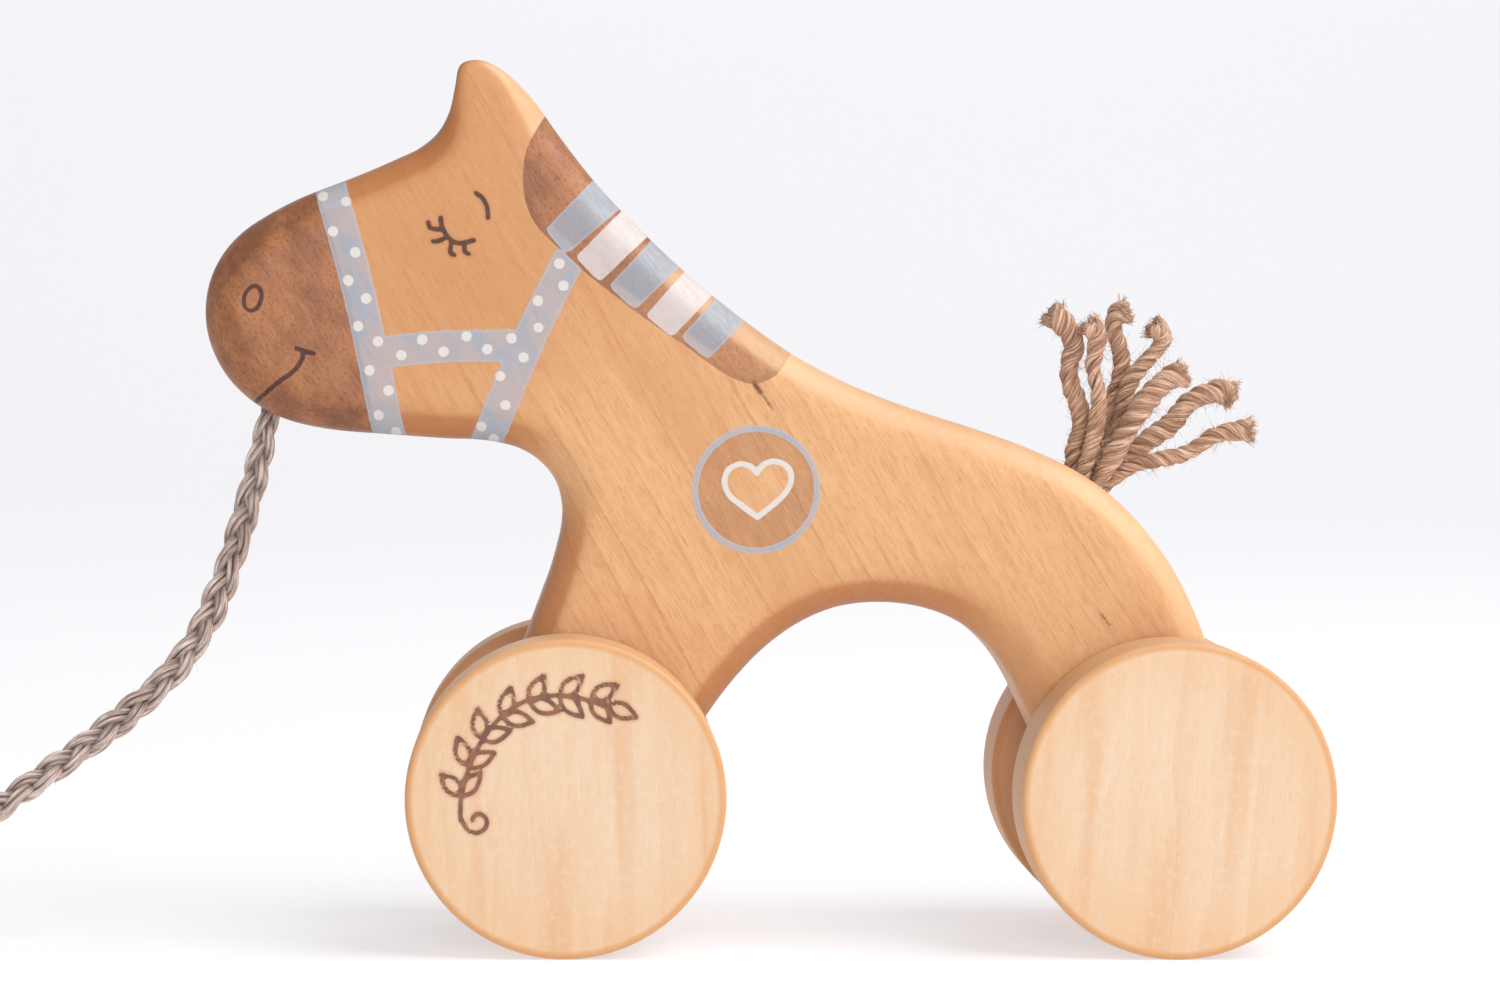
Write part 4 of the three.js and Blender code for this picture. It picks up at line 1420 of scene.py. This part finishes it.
def board_finish():
    """Oiled wood, stain, paint and burnt lines."""
    board = Finish("decorated_board")
    where, grain = wood_grain(board, math.radians(31), (-330, 150), 4.4)
    along = board.node("SeparateXYZ", {}, {0: where}, 2)
    rounded = board.ramp(board.depth(), HALF_BOARD - 0.9, HALF_BOARD - 0.2, 1.0, 0.0)
    # Painted highlight on the round-over that faces the broad lamp: paler wood there, and weaker dark end
    # grain.
    worn = rounded * board.stored("worn")
    end_grain = rounded * board.ramp(board.stored("end_grain"), 0.1, 0.85)
    end_grain = end_grain * (1 - 0.85 * board.stored("worn"))
    steep = board.ramp(board.stored("rounded"), 0.3, 1.0)
    from_mark = board.stored("knot_mm") + (board.noise(where, 0.8) - 0.5) * 0.5
    mark = board.ramp(from_mark, -0.25, 0.35, 1.0, 0.0)
    colour = board.layered(
        hue(212, 161, 112),
        (hue(204, 149, 98), grain["late"] * 0.6),
        (hue(172, 108, 60), grain["line"] * 0.6),
        (hue(220, 176, 130), board.ramp(grain["coarse"], 0.5, 0.68) * 0.3),
        (hue(188, 132, 82), board.ramp(grain["coarse"], 0.5, 0.32) * 0.25),
        (hue(180, 122, 76), board.ramp(grain["fibre"], 0.5, 0.72) * 0.38),
        (hue(224, 182, 140), board.ramp(grain["fibre"], 0.48, 0.3) * 0.3),
        (hue(162, 104, 60), grain["vessel"] * 0.25),
        # painted sheen in bands across the fibres
        (hue(216, 166, 122), board.ramp(grain["chatoyant_sheen"], 0.5, 0.7) * 0.4),
        (hue(194, 136, 84), board.ramp(grain["slow"], 0.42, 0.7) * 0.6),
        (hue(186, 124, 72), board.ramp(along, 96, 140) * 0.6),
        # painted highlight on the round-over that faces the broad lamp
        (hue(226, 190, 150), worn * 0.55),
        (hue(166, 94, 46), end_grain * 0.6),
        (hue(150, 84, 46), end_grain * steep * 0.25),
        (hue(88, 48, 28), mark * 0.9),
    )

    stained_here = hand_edge(board, "stain_mm", where, 0.1, 0.14)
    blotch = board.noise(board.stretched(where, (1, 1, 2)), 5, 4, 0.6)
    speck = board.noise(board.stretched(where, (1, 1, 1.6)), 0.5, 3, 0.6)
    muzzle = board.ramp(along, 118, 128)
    soaked = end_grain * board.ramp(blotch, 0.3, 0.55) * board.ramp(board.stored("rounded"), 0.9, 0.3)
    stain = board.layered(
        hue(166, 108, 68),
        (hue(134, 82, 52), board.ramp(blotch, 0.35, 0.68)),
        (hue(108, 62, 42), board.ramp(speck, 0.48, 0.68) * 0.7),
        (hue(180, 124, 82), board.ramp(grain["fibre"], 0.5, 0.3) * 0.45),
        (hue(104, 66, 48), soaked * muzzle * 0.5),
        (hue(118, 70, 46), board.ramp(board.stored("stain_mm"), -1.6, -0.1) * 0.35),
    )
    on_disc = board.ramp(board.radius(MEDALLION), MEDALLION_RADIUS, MEDALLION_RADIUS + 1, 1.0, 0.0)
    # The painted highlight also thins the stain on the round-over outside the muzzle.
    strength = 0.78 + 0.18 * muzzle - 0.3 * on_disc - 0.45 * worn * (1 - muzzle)
    colour = board.mixed(colour, stain, stained_here * strength)

    blue_here = hand_edge(board, "blue_mm", where)
    wash = board.noise(board.stretched(where, (1, 1, 2.2)), 4.5, 4, 0.6)
    over_stain = board.ramp(board.stored("stain_mm"), -2.8, -1.6, 1.0, 0.0)
    dry_brush = board.ramp(board.noise(board.stretched(where, (1, 1, 14)), 0.7, 2), 0.42, 0.6)
    blue = board.layered(
        hue(172, 162, 163),
        (hue(150, 161, 175), board.ramp(wash, 0.44, 0.66)),
        (board.mixed(hue(148, 144, 150), hue(136, 145, 158), wash), over_stain * 0.85),
        (hue(180, 170, 168), board.ramp(speck, 0.5, 0.68) * 0.35),
        (hue(184, 178, 180), board.ramp(board.stored("blue_mm"), -0.55, -0.2) * 0.4),
        # On the round-over the paint is painted paler: partly thin dry-brushed paint, partly a painted
        # highlight.
        (hue(166, 174, 183), rounded * (0.4 + 0.45 * dry_brush)),
    )
    cover = 0.94 - 0.1 * board.ramp(grain["fibre"], 0.5, 0.75) - 0.06 * grain["line"]
    colour = board.mixed(colour, blue, blue_here * cover)

    white_here = hand_edge(board, "white_mm", where, 0.14, 0.1)
    thick = board.ramp(board.stored("blue_mm"), -0.3, 0.0, 1.0, 0.0) + on_disc
    white = board.layered(
        hue(200, 188, 187),
        (hue(190, 176, 174), board.ramp(wash, 0.42, 0.7)),
        (hue(210, 205, 200), board.ramp(speck, 0.5, 0.66) * 0.35),
        # On the round-over the paint is painted paler: partly thin dry-brushed paint, partly a painted
        # highlight.
        (hue(208, 204, 199), rounded * (0.4 + 0.45 * dry_brush)),
        (hue(212, 205, 200), thick),
    )
    colour = board.mixed(colour, white, white_here * (0.96 - 0.08 * grain["line"]))

    burnt_here = hand_edge(board, "burnt_mm", where, 0.12, 0.14)
    char = board.mixed(hue(68, 30, 24), hue(54, 24, 19), board.ramp(board.noise(where, 0.9), 0.4, 0.65))
    colour = board.mixed(colour, char, burnt_here * 0.95)
    scorch = board.ramp(board.stored("burnt_mm"), 0.0, 0.8, 1.0, 0.0) * (1 - burnt_here)
    colour = board.mixed(colour, hue(170, 100, 60), scorch * 0.3)

    painted = board.node("Math", {"operation": "MAXIMUM"}, {0: blue_here, 1: white_here})
    roughness = 0.4 + 0.12 * board.ramp(grain["fibre"], 0.4, 0.7) + 0.2 * painted - 0.05 * grain["late"]
    height = grain["fibre"] * 0.35 - grain["vessel"] * 0.5 + painted * 0.5
    height = height - burnt_here * 1.3 - mark * 0.8 + speck * stained_here * 0.2
    return board.surface(colour, roughness, height, 0.35, 0.00025)


board.data.materials.clear()
board.data.materials.append(board_finish())

# %% [markdown]
# ## The wheels' finish
#
# The discs are cut across a pale plank, so their faces show straight grain. The rim, where the
# fibres are cut across, soaked up more oil, and the lathe tool burnished an orange line where the
# face turns over. The wood differs from disc to disc, so each one gets its own seed and tilt.

# %% Pale wood

# Where each mark of the lathe starts and is full, in mm from the axle. The rim is at 30.
LINE_COMES, LINE_GOES = (28.1, 29.2), (29.6, 29.95)
BAND_COMES = (29.5, 29.95)
INNER_SIDE = (14.2, 15.2)  # mm from the middle of the wheel's own axis


def wheel_finish(name, seed, tilt, sprig=False):
    """Pale turned wood. The near front wheel also carries the burnt sprig."""
    pale = Finish(name)
    where, grain = wood_grain(pale, tilt, (190 + 37 * seed, 60 - 9 * seed), 8)
    streak = pale.ramp(pale.noise(pale.stretched(where, (1, 1, 9)), 7, 2), 0.5, 0.68)
    mottle = pale.ramp(pale.noise(where, 1.6, 3), 0.5, 0.68)
    out = pale.radius()
    rim_line = pale.ramp(out, *LINE_COMES) * pale.ramp(out, *LINE_GOES, 1.0, 0.0)
    colour = pale.layered(
        hue(220, 191, 160),
        (hue(217, 185, 152), grain["late"]),
        (hue(206, 160, 116), grain["line"] * 0.3),
        (hue(223, 199, 174), pale.ramp(grain["coarse"], 0.5, 0.72) * 0.5),
        (hue(204, 164, 124), pale.ramp(grain["fibre"], 0.52, 0.74) * 0.4),
        (hue(200, 156, 114), grain["vessel"] * 0.28),
        (hue(214, 174, 134), pale.ramp(grain["slow"], 0.45, 0.75) * 0.45),
        (hue(208, 158, 114), streak * 0.42),
        (hue(222, 200, 178), mottle * 0.35),
        (hue(214, 162, 108), pale.ramp(out, 17, 28.5) * 0.22),
        (hue(204, 142, 80), rim_line * 0.7),
        (hue(204, 152, 104), pale.ramp(out, *BAND_COMES) * 0.6),
        (hue(198, 136, 90), pale.ramp(pale.depth(), *INNER_SIDE) * 0.6),
    )
    roughness = 0.48 + 0.12 * pale.ramp(grain["fibre"], 0.4, 0.7)
    height = grain["fibre"] * 0.3 - grain["vessel"] * 0.4
    if sprig:
        burnt_here = hand_edge(pale, "sprig_mm", where, 0.14, 0.14)
        tone = pale.ramp(pale.noise(where, 2.2, 3), 0.38, 0.62)
        char = pale.mixed(hue(102, 58, 42), hue(134, 82, 58), tone)
        colour = pale.mixed(colour, char, burnt_here * 0.95)
        scorch = pale.ramp(pale.stored("sprig_mm"), 0.0, 0.7, 1.0, 0.0) * (1 - burnt_here)
        colour = pale.mixed(colour, hue(184, 130, 90), scorch * 0.35)
        height = height - burnt_here * 1.2
    return pale.surface(colour, roughness, height, 0.3, 0.0002)


WHEEL_GRAIN = {  # a seed and a tilt from upright, in degrees
    "front_left_wheel": (1, 3), "front_right_wheel": (2, 24),
    "rear_left_wheel": (3, -4), "rear_right_wheel": (4, 61),
}
for node, (seed, tilt) in WHEEL_GRAIN.items():
    finish = wheel_finish("pale_" + node, seed, math.radians(tilt), node == "front_left_wheel")
    wheels[node].data.materials.append(finish)

dowel = Finish("dowel_wood")
where, grain = wood_grain(dowel, math.radians(90), (20, 30), 4)
colour = dowel.mixed(hue(200, 154, 112), hue(182, 132, 90), grain["late"])
colour = dowel.mixed(colour, hue(158, 108, 70), dowel.ramp(grain["fibre"], 0.55, 0.8) * 0.5)
dowel_material = dowel.surface(colour, 0.55 + 0.1 * grain["fibre"], grain["fibre"], 0.3)
for axle in ("front_axle", "rear_axle"):
    nodes[axle].data.materials.clear()
    nodes[axle].data.materials.append(dowel_material)
print("wheel finishes:", len(WHEEL_GRAIN))

# %% [markdown]
# ## Jute and linen
#
# Both are bundles of plant fibre, so both need streaks that follow the bundle and not the room.
# Each point of a strand kept its own place on its bundle: two numbers round it and one along it,
# in millimetres. Noise stretched a long way along that third direction gives fibres. The valleys
# between bundles were kept too, and are painted darker there, as shade.

# %% Fibre finishes


def fibre_finish(name, light, middle, dark, shade, streak, bump):
    """A bundle of fibres, in a light, a middle and a dark tone, with shade between bundles."""
    bundle = Finish(name)
    place = bundle.stored("fibre_mm", "VECTOR")
    fine = bundle.noise(bundle.stretched(place, (1, 1, 14)), 0.13, 2, 0.6)
    broad = bundle.noise(bundle.stretched(place, (1, 1, 9)), 0.45, 3, 0.6)
    drift = bundle.noise(bundle.stretched(place, (1, 1, 4)), 2.6, 2)
    colour = bundle.layered(
        middle,
        (light, bundle.ramp(broad, 0.46, 0.6)),
        (dark, bundle.ramp(broad, 0.46, 0.34) * 0.6),
        (dark, bundle.ramp(fine, 0.5, 0.62) * streak),
        (light, bundle.ramp(fine, 0.46, 0.34) * 0.6),
        (dark, bundle.ramp(drift, 0.5, 0.7) * 0.4),
        # painted shade in the grooves between plies and yarns
        (shade, bundle.stored("hollow") * 0.85),
    )
    roughness, height = 0.82 + 0.1 * broad, fine * 0.7 + broad * 0.5
    sheen = {"Sheen_Weight": 0.15, "Sheen_Roughness": 0.5}
    return bundle.surface(colour, roughness, height, bump, 0.0002, **sheen)


jute = fibre_finish(
    "jute_fibres", hue(226, 192, 166), hue(180, 136, 108), hue(126, 86, 62), hue(78, 48, 36), 0.65, 0.8
)
linen = fibre_finish(
    "linen_fibres", hue(230, 213, 204), hue(190, 167, 156), hue(126, 102, 92), hue(82, 62, 54), 0.6, 0.8
)
for piece in strand_pieces:
    piece.data.materials.append(jute)
for piece in cord_pieces:
    piece.data.materials.append(linen)
print("fibre finishes on", len(strand_pieces) + len(cord_pieces), "pieces")

# %% [markdown]
# ## Floor and light
#
# The toy stands on a white sweep: a floor that curves up into a wall, with no line between them.
# The paper glows softly by itself, a little less higher up the wall, which keeps its shadows pale. The rest
# is a studio's light.
# The whole room glows softly, one broad lamp above and to the right gives the rounded edges their
# highlights and sends the shadows to the left, and a fill from the front lights the faces.
#
# The sweep is wide and deep enough for a camera to walk round the toy inside it.

# %% The sweep
SWEEP_WIDTH = 3.6
SWEEP_FRONT, SWEEP_BACK = -1.8, 2.2
SWEEP_CURVE = 0.5
SWEEP_HEIGHT = 1.8
PAPER_GLOW = 0.55


def sweep_profile():
    """The sweep's section, from the front of the floor to the top of the wall."""
    turn = np.linspace(0, math.pi / 2, 25)
    curve = [(SWEEP_BACK - SWEEP_CURVE + SWEEP_CURVE * math.sin(a), SWEEP_CURVE * (1 - math.cos(a)))
             for a in turn]
    return [(SWEEP_FRONT, 0), *curve, (SWEEP_BACK, SWEEP_HEIGHT)]


profile = sweep_profile()
sides = [-SWEEP_WIDTH / 2, SWEEP_WIDTH / 2]
sweep_mesh = bpy.data.meshes.new("sweep")
sweep_mesh.from_pydata(
    [(x, y, z) for y, z in profile for x in sides],
    [],
    [(2 * k, 2 * k + 1, 2 * k + 3, 2 * k + 2) for k in range(len(profile) - 1)],
)
sweep_mesh.polygons.foreach_set("use_smooth", [True] * len(sweep_mesh.polygons))
sweep = bpy.data.objects.new("sweep", sweep_mesh)
bpy.context.scene.collection.objects.link(sweep)
paper = Finish("white_paper")
tooth = paper.noise(paper.node("TexCoord", out="Object") * 1000.0, 0.8, 2)
tone = paper.mixed(hue(184, 184, 186), hue(180, 179, 182), tooth)
paper_height = paper.node("SeparateXYZ", {}, {0: paper.node("TexCoord", out="Object")}, 2)
# The paper glows by itself, a little less higher up, which keeps its shadows pale.
glow = paper.mixed((0.97, 0.965, 0.985, 1), (0.93, 0.93, 0.955, 1), paper.ramp(paper_height, 0.0, 0.42))
sweep_mesh.materials.append(
    paper.surface(
        tone, 0.9 + 0.05 * tooth, tooth, 0.05, glow=glow, Emission_Strength=PAPER_GLOW,
    )
)

# %% Lamps
ROOM_GLOW = (0.93, 0.945, 1.0, 1)
ROOM_STRENGTH = 0.45
world = bpy.data.worlds.new("studio")
bpy.context.scene.world = world
world.use_nodes = True
world.node_tree.nodes["Background"].inputs["Color"].default_value = ROOM_GLOW
world.node_tree.nodes["Background"].inputs["Strength"].default_value = ROOM_STRENGTH


def lamp(name, place, aim, size, power, colour):
    """A square soft lamp that faces a point."""
    light = bpy.data.lights.new(name, "AREA")
    light.shape, light.size, light.energy, light.color = "SQUARE", size, power, colour
    made = bpy.data.objects.new(name, light)
    made.location = place
    made.rotation_mode = "QUATERNION"
    made.rotation_quaternion = (Vector(aim) - Vector(place)).to_track_quat("-Z", "Y")
    bpy.context.scene.collection.objects.link(made)
    return made


toy_middle = (0, 0, 0.08)
lamp("broad_lamp", (0.95, -0.4, 1.3), toy_middle, 1.3, 25.0, (1, 0.98, 0.94))
lamp("front_fill", (0.3, -2.2, 0.6), toy_middle, 1.3, 20.0, (1, 0.98, 0.95))
bpy.context.scene.view_settings.view_transform = "Standard"
print("lamps lit")
